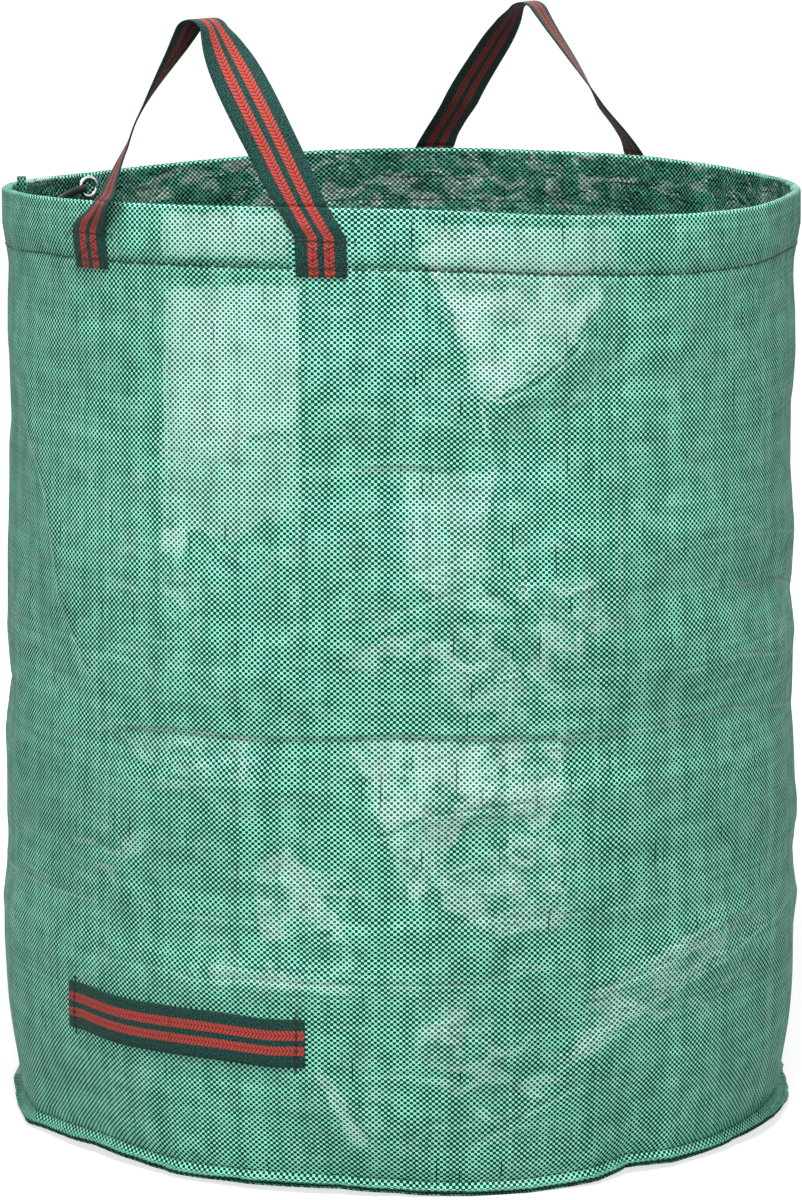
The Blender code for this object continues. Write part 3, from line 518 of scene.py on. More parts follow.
def read_map(table, angle, z):
    x = (wrapped(angle) + 180.0) / 360.0 * MAP_COLUMNS
    y = np.clip((np.asarray(z, float) - MAP_LOW) / (MAP_HIGH - MAP_LOW), 0, 1) * (MAP_ROWS - 1)
    i, j = np.floor(x).astype(int), np.minimum(np.floor(y).astype(int), MAP_ROWS - 2)
    fx, fy = x - i, y - j
    i, k = i % MAP_COLUMNS, (i + 1) % MAP_COLUMNS
    low = table[j, i] * (1 - fx) + table[j, k] * fx
    high = table[j + 1, i] * (1 - fx) + table[j + 1, k] * fx
    return low + (high - low) * fy


# Where the cloth is crumpled finely, as (angle, height, half width in degrees, half height)
CRUMPLED = (
    (37, 0.335, 17, 0.040), (45, 0.258, 8, 0.045), (15, 0.250, 9, 0.036), (0, 0.560, 12, 0.050),
    (45, 0.430, 9, 0.050), (42, 0.500, 9, 0.030), (-8, 0.470, 8, 0.060), (10, 0.185, 14, 0.022),
    (46, 0.755, 13, 0.022), (38, 0.090, 14, 0.050), (72, 0.150, 16, 0.035), (30, 0.440, 9, 0.030),
    (6, 0.545, 10, 0.050), (0, 0.345, 12, 0.025), (-15, 0.250, 12, 0.040),
)


def crumpling(angle, z):
    """How finely crumpled the cloth is, from 0 to 1."""
    total = 0.30 + 0.0 * z
    for at, height, wide, high in CRUMPLED:
        off = np.hypot(wrapped(angle - at) / wide, (z - height) / high)
        total = np.maximum(total, ease(1.6 - 1.1 * off))
    return np.maximum(total, hidden_side(angle, 84) * ease(0.40 + 1.1 * soft_noise(angle, z, 11, 0.14, 31)))


def relief_map():
    """How far the folds, the facets between them and the fine crumples stand out, in metres."""
    busy = crumpling(*map_grid())
    large = softened(fold_map(), 3)
    mid = softened(facet_map(0.036, 23), 2)
    small = softened(facet_map(0.017, 37), 1)
    sharp = softened(kept_map("folds", fold_fields)[0], 1)
    loose = 0.0013 * mid * (0.25 + 0.75 * busy) + 0.0006 * small * (0.10 + 0.90 * busy)
    return 1.4 * large + 0.0014 * sharp + loose


def foot_puckers(angle, z):
    total = np.zeros(np.shape(z))
    for at, half, depth, height in FOOT_TUCKS:
        off = np.abs(wrapped(angle - at)) / half
        total += 0.001 * depth * np.exp(-off) * np.exp(-np.maximum(z, 0) / height)
    fine = round_noise(angle, 96, 91)
    return total + 0.0016 * fine * np.exp(-np.maximum(z, 0) / 0.022)


def hem_puckers(angle, z):
    """The stitching draws the cloth in along its line and puckers it on both sides."""
    off = np.abs(z - HEM_LINE)
    groove = -0.0003 * np.exp(-off / 0.0030)
    fine = round_noise(angle, 170, 92) + 0.6 * round_noise(angle, 61, 93)
    return groove + 0.00042 * fine * np.exp(-off / 0.012)


def relief(angle, z):
    """How far the creased cloth stands out from its smooth profile."""
    angle, z = np.broadcast_arrays(wrapped(angle), np.asarray(z, float))
    calm = 1 - 0.35 * ease((z - HEM_LINE + 0.004) / 0.020)
    seam = np.abs(wrapped(angle - SEAM_ANGLE)) * ROUND / 360.0
    folds = read_map(kept_map("relief", relief_map), angle, z) - 0.0016 * np.exp(-seam / 0.004)
    return folds * calm + foot_puckers(angle, z) + hem_puckers(angle, z)


def lift(angle, z):
    """How far the uneven rim and foot raise the cloth."""
    z = np.asarray(z, float)
    rim = round_curve(angle, RIM_LIFTS) * ease((z - 0.25) / (HEM_LINE - 0.25))
    foot = np.maximum(round_curve(angle, FOOT_LIFTS), 0) * ease((0.24 - z) / 0.24)
    return 0.001 * (rim + foot)


def draw(angle, z):
    """How far the foot is drawn in."""
    return 0.001 * round_curve(angle, FOOT_DRAWS) * ease((0.13 - np.asarray(z, float)) / 0.13)


def on_cloth(angle, z, stand=0.0):
    """Points that stand off the creased cloth's outer face."""
    angle, z, stand = np.broadcast_arrays(np.asarray(angle, float), np.asarray(z, float), stand)
    radius = profile(z) + relief(angle, z) - draw(angle, z) + stand
    return on_bag(radius, angle, z + lift(angle, z))


def draped(points):
    """Points of the smooth sack, moved as the creased cloth there is."""
    points = np.asarray(points, float)
    radius = np.hypot(points[..., 0], points[..., 1])
    angle = np.degrees(np.arctan2(points[..., 0], -points[..., 1]))
    z = points[..., 2]
    held = np.minimum(z, HEIGHT)
    fade = np.exp(-np.maximum(z - HEIGHT, 0) / 0.012)
    settle = 1 - ease((z - HEIGHT) / LOOP_RISE)
    return on_bag(radius + relief(angle, held) * fade, angle, z + lift(angle, z) * settle)


# --------------------------------------------------------------- making meshes


def new_object(name, verts, faces, uvs=None, materials=(), slots=None, smooth=True):
    """A mesh object from arrays. uvs has a pair for each corner of each face."""
    mesh = bpy.data.meshes.new(name)
    mesh.from_pydata(np.asarray(verts, float).reshape(-1, 3).tolist(), [], [tuple(f) for f in faces])
    if uvs is not None:
        layer = mesh.uv_layers.new(name="Cloth")
        layer.data.foreach_set("uv", np.asarray(uvs, np.float32).ravel())
    for made in materials:
        mesh.materials.append(made)
    if slots is not None:
        mesh.polygons.foreach_set("material_index", np.asarray(slots, np.int32))
    mesh.polygons.foreach_set("use_smooth", [smooth] * len(mesh.polygons))
    mesh.validate()
    mesh.update()
    thing = bpy.data.objects.new(name, mesh)
    bpy.context.scene.collection.objects.link(thing)
    return thing


def grid_faces(rows, columns, wrap_columns=False, wrap_rows=False, first=0):
    """Faces of a grid of points, and the row and column of each face's corners."""
    last_row = rows if wrap_rows else rows - 1
    last_column = columns if wrap_columns else columns - 1
    r, c = np.meshgrid(np.arange(last_row), np.arange(last_column), indexing="ij")
    r, c = r.ravel(), c.ravel()
    corner_r = np.stack([r, r, r + 1, r + 1], -1)
    corner_c = np.stack([c, c + 1, c + 1, c], -1)
    return first + (corner_r % rows) * columns + corner_c % columns, corner_r, corner_c


def grid_object(name, points, uv, materials, row_slots=None, wrap_columns=False, wrap_rows=False):
    """A grid of points as a mesh. uv holds one more row or column where the grid wraps."""
    rows, columns = points.shape[:2]
    faces, r, c = grid_faces(rows, columns, wrap_columns, wrap_rows)
    slots = None if row_slots is None else np.asarray(row_slots)[r[:, 0]]
    return new_object(name, points, faces, uv[r, c], materials, slots)


def mend(thing, ring=0):
    """Turns a mesh's faces outwards. A tube whose rings hold that many points is first capped at both ends."""
    mesh = bmesh.new()
    mesh.from_mesh(thing.data)
    mesh.verts.ensure_lookup_table()
    if ring:
        for end in (range(ring), range(len(mesh.verts) - ring, len(mesh.verts))):
            mesh.faces.new([mesh.verts[i] for i in end])
    bmesh.ops.recalc_face_normals(mesh, faces=mesh.faces)
    mesh.to_mesh(thing.data)
    mesh.free()


def set_value(thing, name, values):
    """A float attribute on each vertex, which a material can read."""
    layer = thing.data.attributes.new(name, "FLOAT", "POINT")
    layer.data.foreach_set("value", np.asarray(values, np.float32).ravel())


class Strands:
    """Thread or wire tubes gathered into one mesh."""

    def __init__(self, radius, sides=6):
        self.radius, self.sides = radius, sides
        self.verts, self.faces, self.uvs, self.count = [], [], [], 0

    def add(self, path, out, radius=None):
        """A tube along path (N, 3), with out (N, 3) roughly across it."""
        path = np.asarray(path, float)
        along = unit(np.gradient(path, axis=0))
        across = unit(np.cross(along, out))
        up = np.cross(across, along)
        turn = np.linspace(0, 2 * math.pi, self.sides, endpoint=False)
        size = np.broadcast_to(self.radius if radius is None else radius, len(path))[:, None, None]
        ring = across[:, None] * np.cos(turn)[None, :, None] + up[:, None] * np.sin(turn)[None, :, None]
        verts = (path[:, None] + ring * size).reshape(-1, 3)
        faces, r, c = grid_faces(len(path), self.sides, True, False, self.count)
        self.uvs.append(np.stack([c / self.sides, run_along(path)[r]], -1).reshape(-1, 2))
        self.faces += [tuple(f) for f in faces]
        ends = [range(self.count + self.sides - 1, self.count - 1, -1)]
        tail = self.count + (len(path) - 1) * self.sides
        ends.append(range(tail, tail + self.sides))
        for end in ends:
            self.faces.append(tuple(end))
            self.uvs.append(np.zeros((self.sides, 2)))
        self.verts.append(verts)
        self.count += len(verts)

    def stitches(self, path, out, pitch, gap=0.0011, seed=5):
        """Stitches of a pitch along a path that lies on the cloth, which dip into it at both ends."""
        path, out = np.asarray(path, float), np.asarray(out, float)
        run = run_along(path)
        count = max(1, int(round(run[-1] / pitch)))
        step = run[-1] / count
        rng = np.random.RandomState(seed)
        shares = np.array([0.0, 0.07, 0.22, 0.5, 0.78, 0.93, 1.0])
        stands = self.radius * np.array([-1.2, 0.1, 0.9, 1.15, 0.9, 0.1, -1.2])
        for i in range(count):
            lean = rng.uniform(-0.00025, 0.00025, 2)
            s = i * step + gap / 2 + (step - gap) * shares
            at = np.stack([np.interp(s, run, path[:, k]) for k in range(3)], -1)
            up = unit(np.stack([np.interp(s, run, out[:, k]) for k in range(3)], -1))
            side = unit(np.cross(np.gradient(at, axis=0), up))
            shift = (lean[0] + (lean[1] - lean[0]) * shares)[:, None]
            self.add(at + up * stands[:, None] + side * shift, up)

    def object(self, name, materials):
        return new_object(name, np.concatenate(self.verts), self.faces, np.concatenate(self.uvs), materials)


# ------------------------------------------------------------------- materials

# Settings that many nodes share
PLANE = {"noise_dimensions": "2D"}
SMOOTH = {"interpolation_type": "SMOOTHSTEP"}
MIX = {"data_type": "RGBA", "blend_type": "MIX", "out": 2}
TINT = {"data_type": "RGBA", "blend_type": "MULTIPLY", "out": 2}
# Index of refraction of polypropylene
PLASTIC_IOR = 1.49


def linear(code):
    """An sRGB hex colour as linear RGB."""
    parts = [int(code[i : i + 2], 16) / 255 for i in (0, 2, 4)]
    return tuple(c / 12.92 if c <= 0.04045 else ((c + 0.055) / 1.055) ** 2.4 for c in parts)


def plug(node, **inputs):
    """Links or sets a node's inputs, each named by its words joined by _, or by its number after n."""
    for key, value in inputs.items():
        socket = node.inputs[int(key[1:])] if key[1:].isdigit() else node.inputs[key.replace("_", " ")]
        if isinstance(value, bpy.types.NodeSocket):
            node.id_data.links.new(value, socket)
        else:
            socket.default_value = value


def add(tree, kind, *values, out=0, **settings):
    """Adds a node and returns one of its outputs, or all of them where out is None.

    kind is the node's type, and may be followed by its operation. Values fill its inputs from the first. A
    setting that starts with a capital, or is n and a number, is an input, and the others are the node's own.
    """
    kind, _, operation = kind.partition(" ")
    node = tree.nodes.new(f"ShaderNode{kind}")
    if operation:
        node.operation = operation
    inputs = {f"n{i}": value for i, value in enumerate(values)}
    for key, value in settings.items():
        if key[0].isupper() or key[1:].isdigit():
            inputs[key] = value
        else:
            setattr(node, key, value)
    plug(node, **inputs)
    return node.outputs if out is None else node.outputs[out]


def new_material(name):
    """A material, its tree and its Principled shader."""
    made = bpy.data.materials.new(name)
    made.use_nodes = True
    return made, made.node_tree, made.node_tree.nodes["Principled BSDF"]


def rgba(colour):
    return (*tuple(colour)[:3], 1.0)


def facet_normal(tree, uv, strength):
    """The surface's normal, tilted by another amount in each flat of a crumpled film, 30 mm and 12 mm across."""
    warp = add(tree, "TexNoise", uv, Scale=0.10, Detail=2.0, out="Color", **PLANE)
    swayed = add(tree, "VectorMath MULTIPLY_ADD", warp, (9.0, 9.0, 0.0), uv)
    tilt = (0.0, 0.0, 0.0)
    for scale, share, smooth in ((0.080, 1.0, 0.10), (0.20, 0.5, 0.25)):
        cell = add(
            tree, "TexVoronoi", swayed, voronoi_dimensions="2D", feature="SMOOTH_F1",
            Scale=scale, Smoothness=smooth, out="Color",
        )
        centred = add(tree, "VectorMath SUBTRACT", cell, (0.5, 0.5, 0.5))
        tilt = add(tree, "VectorMath MULTIPLY_ADD", centred, (2 * share,) * 3, tilt)
    scaled = add(tree, "VectorMath SCALE", tilt, Scale=strength)
    parts = add(tree, "SeparateXYZ", scaled, out=None)
    normal = add(tree, "NewGeometry", out="Normal")
    level = add(tree, "VectorMath CROSS_PRODUCT", (0.0, 0.0, 1.0), normal)
    steep = add(tree, "VectorMath CROSS_PRODUCT", normal, level)
    for way, amount in ((level, parts[0]), (steep, parts[1])):
        pushed = add(tree, "VectorMath SCALE", way, Scale=amount)
        normal = add(tree, "VectorMath ADD", normal, pushed)
    return add(tree, "VectorMath NORMALIZE", normal)


def painted_highlights(tree, uv, apart, rise, busy, painted_blotches):
    """How far painted highlights cover the tapes: in the placed patches, as a thin line along folds and in small
    slanting blotches.
    """
    grain = add(tree, "TexNoise", uv, Scale=0.085, Detail=3.0, **PLANE)
    torn = add(tree, "TexNoise", uv, Scale=0.22, Detail=5.0, **PLANE)
    depth, gain = (add(tree, "Attribute", attribute_name=at, out="Fac") for at in ("haze_depth", "haze_gain"))
    # Painted highlights in the placed patches, with torn edges
    inside = add(tree, "Math MULTIPLY_ADD", torn, 1.1, -0.55)
    inside = add(tree, "Math ADD", inside, depth)
    amount = add(tree, "Math MULTIPLY", add(tree, "MapRange", inside, -0.18, 0.22, **SMOOTH), gain)
    gaps = add(tree, "MapRange", grain, 0.36, 0.60, 1.0, 0.0, **SMOOTH)
    gaps = add(tree, "Math MULTIPLY", gaps, add(tree, "MapRange", busy, 0.0, 0.8, 0.1, 0.85, **SMOOTH))
    painted_highlight_share = add(tree, "Math MULTIPLY", amount, add(tree, "Math SUBTRACT", 1.0, gaps))
    # A thin painted highlight along each fold
    near = add(tree, "Math MULTIPLY_ADD", torn, 0.24, add(tree, "Math ADD", apart, -0.12))
    near = add(tree, "Math ABSOLUTE", near)
    line = add(tree, "MapRange", near, 0.05, 0.26, 1.0, 0.0, **SMOOTH)
    line = add(tree, "Math MULTIPLY", line, add(tree, "Math ABSOLUTE", rise))
    line = add(tree, "Math MULTIPLY", line, add(tree, "MapRange", grain, 0.36, 0.56, 0.15, 0.75, **SMOOTH))
    painted_highlight_share = add(tree, "Math MAXIMUM", painted_highlight_share, line)
    return add(tree, "Math MAXIMUM", painted_highlight_share, painted_blotches)


def tape_cloth(name, light, dark, film, roughness, coat, haze=True, crinkle=1.0):
    """Polypropylene slit film, woven and laminated: a checker of two tapes under a glossy film.

    The cloth's UV map counts tapes, 2.5 mm wide round the sack and 2.2 mm up it.
    """
    made, tree, shader = new_material(name)
    uv = add(tree, "UVMap", uv_map="Cloth")
    # Tapes wander by a small part of their width, so the checker isn't ruled
    drift = add(tree, "TexNoise", uv, Scale=0.045, Detail=2.0, **PLANE)
    sway = add(tree, "Math MULTIPLY_ADD", drift, 1.1, -0.55)
    waves, tones = [], []
    for way in add(tree, "SeparateXYZ", uv, out=None)[:2]:
        place = add(tree, "Math ADD", way, sway)
        waves.append(add(tree, "Math SINE", add(tree, "Math MULTIPLY", place, math.pi)))
        tones.append(add(tree, "TexWhiteNoise", noise_dimensions="1D", W=add(tree, "Math FLOOR", place)))
    checker = add(tree, "Math MULTIPLY", *waves)
    column_tone, row_tone = tones
    # Slubs: a dark tape that twists shows as a short upright line
    slubs = add(tree, "TexNoise", add(tree, "Mapping", uv, Scale=(1.0, 0.04, 1.0)), Scale=0.9, Detail=1.0, **PLANE)
    slubs = add(tree, "MapRange", slubs, 0.765, 0.83, **SMOOTH)
    # Patches where the dark tapes lie over more of the light ones, or under them
    loose = add(tree, "TexNoise", uv, Scale=0.10, Detail=3.0, **PLANE)
    loose = add(tree, "MapRange", loose, 0.30, 0.70, -1.0, 1.0, **SMOOTH)
    width = add(tree, "Math MULTIPLY_ADD", column_tone, 0.14, -0.03)
    width = add(tree, "Math MULTIPLY_ADD", loose, 0.06, width)
    width = add(tree, "Math MULTIPLY_ADD", slubs, 0.75, width)
    apart, rise, busy = (
        add(tree, "Attribute", attribute_name=at, out="Fac") for at in ("fold_apart", "fold_rise", "crumple")
    )
    # Painted highlights in small slanting blotches where the cloth is crumpled
    slant = add(tree, "Mapping", uv, Rotation=(0, 0, 0.5), Scale=(0.6, 1.0, 1.0))
    painted_blotches = add(tree, "TexNoise", slant, Scale=0.13, Detail=2.5, Distortion=0.8, **PLANE)
    painted_blotches = add(tree, "MapRange", painted_blotches, 0.50, 0.68, **SMOOTH)
    painted_highlight_share = add(tree, "Math MULTIPLY", painted_blotches, add(tree, "MapRange", busy, 0.05, 0.8, 0.15, 0.8, **SMOOTH))
    if haze:
        painted_highlight_share = painted_highlights(tree, uv, apart, rise, busy, painted_highlight_share)
        # Under the painted highlights the dark dots shrink
        width = add(tree, "Math MULTIPLY_ADD", painted_highlight_share, -0.20, width)
    light_share = add(tree, "MapRange", add(tree, "Math SUBTRACT", checker, width), -0.09, 0.09, **SMOOTH)
    light_tone = add(tree, "Math MULTIPLY_ADD", row_tone, 0.20, 0.90)
    dark_tone = add(tree, "Math MULTIPLY_ADD", column_tone, 0.6, 0.7)
    light_tape = add(tree, "Mix", 1.0, n6=rgba(light), n7=light_tone, **TINT)
    dark_tape = add(tree, "Mix", 1.0, n6=rgba(dark), n7=dark_tone, **TINT)
    # Painted highlight: the film colour is mixed over the light tapes at half strength and faintly over the dark ones
    light_tape = add(tree, "Mix", add(tree, "Math MULTIPLY", painted_highlight_share, 0.50), n6=light_tape, n7=rgba(film), **MIX)
    dark_tape = add(tree, "Mix", add(tree, "Math MULTIPLY", painted_highlight_share, 0.08), n6=dark_tape, n7=rgba(film), **MIX)
    colour = add(tree, "Mix", light_share, n6=dark_tape, n7=light_tape, **MIX)
    broad = add(tree, "TexNoise", uv, Scale=0.018, Detail=3.0, **PLANE)
    shade = add(tree, "Math MULTIPLY_ADD", broad, 0.34, 0.83)
    # Painted shade along the folds that go in
    off = add(tree, "Math ABSOLUTE", add(tree, "Math ADD", apart, 0.10))
    crease_shade = add(tree, "MapRange", off, 0.08, 0.42, 1.0, 0.0, **SMOOTH)
    crease_shade = add(tree, "Math MULTIPLY", crease_shade, add(tree, "MapRange", rise, -1.0, -0.45, 0.42, 0.0, **SMOOTH))
    shade = add(tree, "Math MULTIPLY", shade, add(tree, "Math SUBTRACT", 1.0, crease_shade))
    uneven = add(tree, "TexNoise", uv, Scale=0.06, Detail=3.0, **PLANE)
    # The film shines where the light tapes carry it, and sinks over the dark ones
    gloss = add(tree, "Math MULTIPLY_ADD", light_share, 0.96 * coat, 0.04 * coat)
    if haze:
        gloss = add(tree, "Math MULTIPLY", gloss, add(tree, "Math MULTIPLY_ADD", painted_highlight_share, 0.70, 0.10))
    # Flats of the crumpled film, wrinkles about 15 mm apart, and a roof along each fold
    facets = facet_normal(tree, uv, add(tree, "Math MULTIPLY_ADD", busy, 0.06 * crinkle, 0.008 * crinkle))
    ripple = add(tree, "TexNoise", uv, Scale=0.16, Detail=2.5, Distortion=0.8, **PLANE)
    ripple = add(tree, "Math ABSOLUTE", add(tree, "Math MULTIPLY_ADD", ripple, 2.0, -1.0))
    high = add(tree, "Math MULTIPLY_ADD", busy, -0.0014 * crinkle, -0.0001 * crinkle)
    ripple = add(tree, "Math MULTIPLY", ripple, high)
    roof = add(tree, "Math DIVIDE", add(tree, "Math ABSOLUTE", apart), -0.6)
    roof = add(tree, "Math MULTIPLY", add(tree, "Math POWER", 2.718, roof), add(tree, "Math MULTIPLY", rise, 0.0022))
    height = add(tree, "Math ADD", ripple, roof)
    creases = add(tree, "Bump", Strength=1.0, Distance=1.0, Height=height, Normal=facets)
    # The crowns of the tapes
    crown = add(tree, "Math MULTIPLY_ADD", light_share, 0.7, 0.3)
    crown = add(tree, "Math MULTIPLY", add(tree, "Math ABSOLUTE", checker), crown)
    tapes = add(tree, "Bump", Strength=0.30, Distance=0.0004, Height=crown, Normal=creases)
    plug(
        shader, Base_Color=add(tree, "Mix", 1.0, n6=colour, n7=shade, **TINT),
        Roughness=add(tree, "MapRange", uneven, 0.35, 0.65, roughness - 0.06, roughness + 0.08, **SMOOTH),
        IOR=PLASTIC_IOR, Specular_IOR_Level=0.05, Coat_Weight=gloss, Coat_Roughness=0.22,
        Normal=tapes, Coat_Normal=creases,
    )
    return made


def webbing_cloth(name, ground, stripe):
    """Polypropylene webbing of textured yarn: pebbled dark ground with two braided stripes, matt.

    Its UV map is a share across and metres along. Its pebbles are drawn 1.6 mm across, a little
    coarse, and the braid repeats at 3.2 mm.
    """
    made, tree, shader = new_material(name)
    uv = add(tree, "UVMap", uv_map="Cloth")
    flat = add(tree, "Mapping", uv, Scale=(0.040, 1.0, 1.0))
    across, along = add(tree, "SeparateXYZ", uv, out=None)[:2]
    along = add(tree, "Math DIVIDE", along, 0.0032)
    fuzz = add(tree, "TexNoise", flat, Scale=1400.0, Detail=2.0, **PLANE)
    # Stripes at 25-44 % and 57-77 % of the width, with edges that their floats leave uneven
    notch = add(tree, "Math SINE", add(tree, "Math MULTIPLY", along, 2 * math.pi))
    edge = add(tree, "Math ADD", across, add(tree, "Math MULTIPLY_ADD", fuzz, 0.012, -0.006))
    edge = add(tree, "Math MULTIPLY_ADD", notch, 0.005, edge)
    stripes = []
    for low, high in ((0.245, 0.435), (0.565, 0.765)):
        begun = add(tree, "MapRange", edge, low, low + 0.010, **SMOOTH)
        ended = add(tree, "MapRange", edge, high, high + 0.010, 1.0, 0.0, **SMOOTH)
        stripes.append(add(tree, "Math MULTIPLY", begun, ended))
    red = add(tree, "Math ADD", *stripes, use_clamp=True)
    # The braid: two courses of floats that lean to a dark line down the middle of each stripe
    middles = (add(tree, "Math ABSOLUTE", add(tree, "Math SUBTRACT", across, at)) for at in (0.345, 0.67))
    middle = add(tree, "Math MINIMUM", *middles)
    lean = add(tree, "Math MULTIPLY_ADD", middle, 9.0, along)
    braid = add(tree, "Math ABSOLUTE", add(tree, "Math SINE", add(tree, "Math MULTIPLY", lean, math.pi)))
    spine = add(tree, "MapRange", middle, 0.004, 0.022, 0.55, 1.0, **SMOOTH)
    stripe_height = add(tree, "Math MULTIPLY", braid, spine)
    pebble = add(
        tree, "TexVoronoi", flat, voronoi_dimensions="2D", feature="F1", Scale=640.0, Randomness=0.8, out="Distance",
    )
    ground_height = add(tree, "MapRange", pebble, 0.0, 0.62, 1.0, 0.0, **SMOOTH)
    # The tones follow the heights that the bump draws: painted shade in the hollows between pebbles and floats,
    # painted light on their tops
    ground_tone = add(tree, "Math MULTIPLY_ADD", ground_height, 1.5, 0.34)
    stripe_tone = add(tree, "Math MULTIPLY_ADD", stripe_height, 0.95, 0.20)
    ground_part = add(tree, "Mix", 1.0, n6=rgba(ground), n7=ground_tone, **TINT)
    stripe_part = add(tree, "Mix", 1.0, n6=rgba(stripe), n7=stripe_tone, **TINT)
    colour = add(tree, "Mix", red, n6=ground_part, n7=stripe_part, **MIX)
    fuzzy = add(tree, "MapRange", fuzz, 0.35, 0.70, 0.84, 1.20, **SMOOTH)
    height = add(tree, "Mix", red, n6=ground_height, n7=stripe_height, **MIX)
    plug(
        shader, Base_Color=add(tree, "Mix", 1.0, n6=colour, n7=fuzzy, **TINT), Roughness=0.68,
        IOR=PLASTIC_IOR, Specular_IOR_Level=0.18, Sheen_Weight=0.04, Sheen_Roughness=0.5,
        Normal=add(tree, "Bump", Strength=0.7, Distance=0.0004, Height=height),
    )
    return made


def thread_yarn(name, colour):
    """Polyester sewing thread, twisted: matt black with a fine diagonal twist."""
    made, tree, shader = new_material(name)
    parts = add(tree, "SeparateXYZ", add(tree, "UVMap", uv_map="Cloth"), out=None)
    turn = add(tree, "Math MULTIPLY_ADD", parts[1], 900.0, parts[0])
    twist = add(tree, "Math SINE", add(tree, "Math MULTIPLY", turn, 2 * math.pi))
    # The tone follows the twist that the bump draws: painted shade in its grooves, painted light on its ridges
    tone = add(tree, "Math MULTIPLY_ADD", twist, 0.3, 1.0)
    plug(
        shader, Base_Color=add(tree, "Mix", 1.0, n6=rgba(colour), n7=tone, **TINT), Roughness=0.55,
        Normal=add(tree, "Bump", Strength=0.4, Distance=0.0001, Height=twist),
    )
    return made


def band_plastic(name, colour):
    """Polypropylene band, extruded: black and satin, with faint lines along its length."""
    made, tree, shader = new_material(name)
    lines = add(tree, "Mapping", add(tree, "UVMap", uv_map="Cloth"), Scale=(60.0, 4.0, 1.0))
    streak = add(tree, "TexNoise", lines, Scale=1.0, Detail=2.0, **PLANE)
    tone = add(tree, "MapRange", streak, 0.3, 0.7, 0.8, 1.35, **SMOOTH)
    plug(
        shader, Base_Color=add(tree, "Mix", 1.0, n6=rgba(colour), n7=tone, **TINT),
        Roughness=add(tree, "MapRange", streak, 0.3, 0.7, 0.30, 0.44, **SMOOTH),
        Normal=add(tree, "Bump", Strength=0.25, Distance=0.0001, Height=streak),
    )
    return made


def plated_brass(name, colour):
    """Nickel-plated brass, stamped and rolled over: bright, with fine scuffs."""
    made, tree, shader = new_material(name)
    scuff = add(tree, "TexNoise", add(tree, "TexCoord", out="Object"), Scale=700.0, Detail=4.0)
    plug(
        shader, Base_Color=rgba(colour), Metallic=1.0,
        Roughness=add(tree, "MapRange", scuff, 0.35, 0.70, 0.14, 0.30, **SMOOTH),
        Normal=add(tree, "Bump", Strength=0.15, Distance=0.0001, Height=scuff),
    )
    return made


def kept_material(key, make, *values, **options):
    """A material made once and shared by the pieces that use it."""
    if key not in kept_material.made:
        kept_material.made[key] = make(key, *values, **options)
    return kept_material.made[key]


kept_material.made = {}


def outer_cloth(context):
    c = context.scene.sack_colours
    return kept_material("laminated_tape_outside", tape_cloth, c.light_tape, c.dark_tape, c.film, 0.60, 1.0)


def inner_cloth(context):
    c = context.scene.sack_colours
    # Its tapes take the darker inside colours: painted shade
    return kept_material(
        "laminated_tape_inside", tape_cloth, c.light_inside_painted_shade, c.dark_inside_painted_shade, c.film, 0.56, 0.7, haze=False,
        crinkle=2.2,
    )


def webbing(context):
    c = context.scene.sack_colours
    return kept_material("polypropylene_webbing", webbing_cloth, c.webbing_ground, c.webbing_stripe)


def webbing_painted_shade(context):
    """The webbing's underside, in colours half as bright: painted shade."""
    c = context.scene.sack_colours
    ground, stripe = (tuple(0.50 * v for v in colour) for colour in (c.webbing_ground, c.webbing_stripe))
    return kept_material("polypropylene_webbing_reverse", webbing_cloth, ground, stripe)


def thread(context):
    return kept_material("polyester_thread", thread_yarn, context.scene.sack_colours.thread)


# -------------------------------------------------------------------- settings


def colour_property(name, code, description):
    return FloatVectorProperty(
        name=name, description=description, subtype="COLOR", size=3, min=0.0, max=1.0, default=linear(code),
    )


def length_property(name, default, description):
    return FloatProperty(
        name=name, description=description, subtype="DISTANCE", unit="LENGTH", default=default, min=0.0001, max=2.0,
    )


class SackColours(bpy.types.PropertyGroup):
    """Colours of the sack's materials"""

    light_tape: colour_property("Light tape", "98f2d8", "The tapes that run round the sack")
    dark_tape: colour_property("Dark tape", "022f1c", "The tapes that run up the sack")
    # Painted shade: the same tapes in darker colours, for the inside of the sack and its base
    light_inside_painted_shade: colour_property("Light tape inside", "4ea088", "The same tapes on the inside")
    dark_inside_painted_shade: colour_property("Dark tape inside", "03170f", "The same tapes on the inside")
    # The colour of the painted highlights, mixed over the tapes in patches, along folds and in blotches
    film: colour_property("Whitened film", "dcefe6", "The laminate where creases have whitened it")
    webbing_ground: colour_property("Webbing ground", "1a463f", "The ground of the webbing")
    webbing_stripe: colour_property("Webbing stripe", "bd4a42", "Its two stripes")
    thread: colour_property("Thread", "0a0c0c", "All stitching")
    band: colour_property("Hoop band", "121314", "The flat band in the hem")
    metal: colour_property("Eyelet", "d9dad8", "The plated eyelet")
    backdrop: colour_property("Backdrop", "bcbcbb", "The floor, before its glow")


class SackSizes(bpy.types.PropertyGroup):
    """Sizes that a user of the sack would change"""

    tape_round: length_property("Tape width round", 0.0025, "Width of the upright tapes")
    tape_up: length_property("Tape width up", 0.0022, "Width of the level tapes")
    webbing_width: length_property("Webbing width", 0.040, "Width of the handles' webbing")
    thread_radius: length_property("Thread radius", 0.00035, "Half the thickness of the thread")
    stitch: length_property("Stitch", 0.0068, "Length of one stitch")
    eyelet_radius: length_property("Eyelet radius", 0.0103, "Outer radius of the eyelet")


def tape_counts(sizes):
    """(tapes round the sack, tapes in a metre of height). The first is even, so the checker closes."""
    return 2 * round(ROUND / sizes.tape_round / 2), 1 / sizes.tape_up
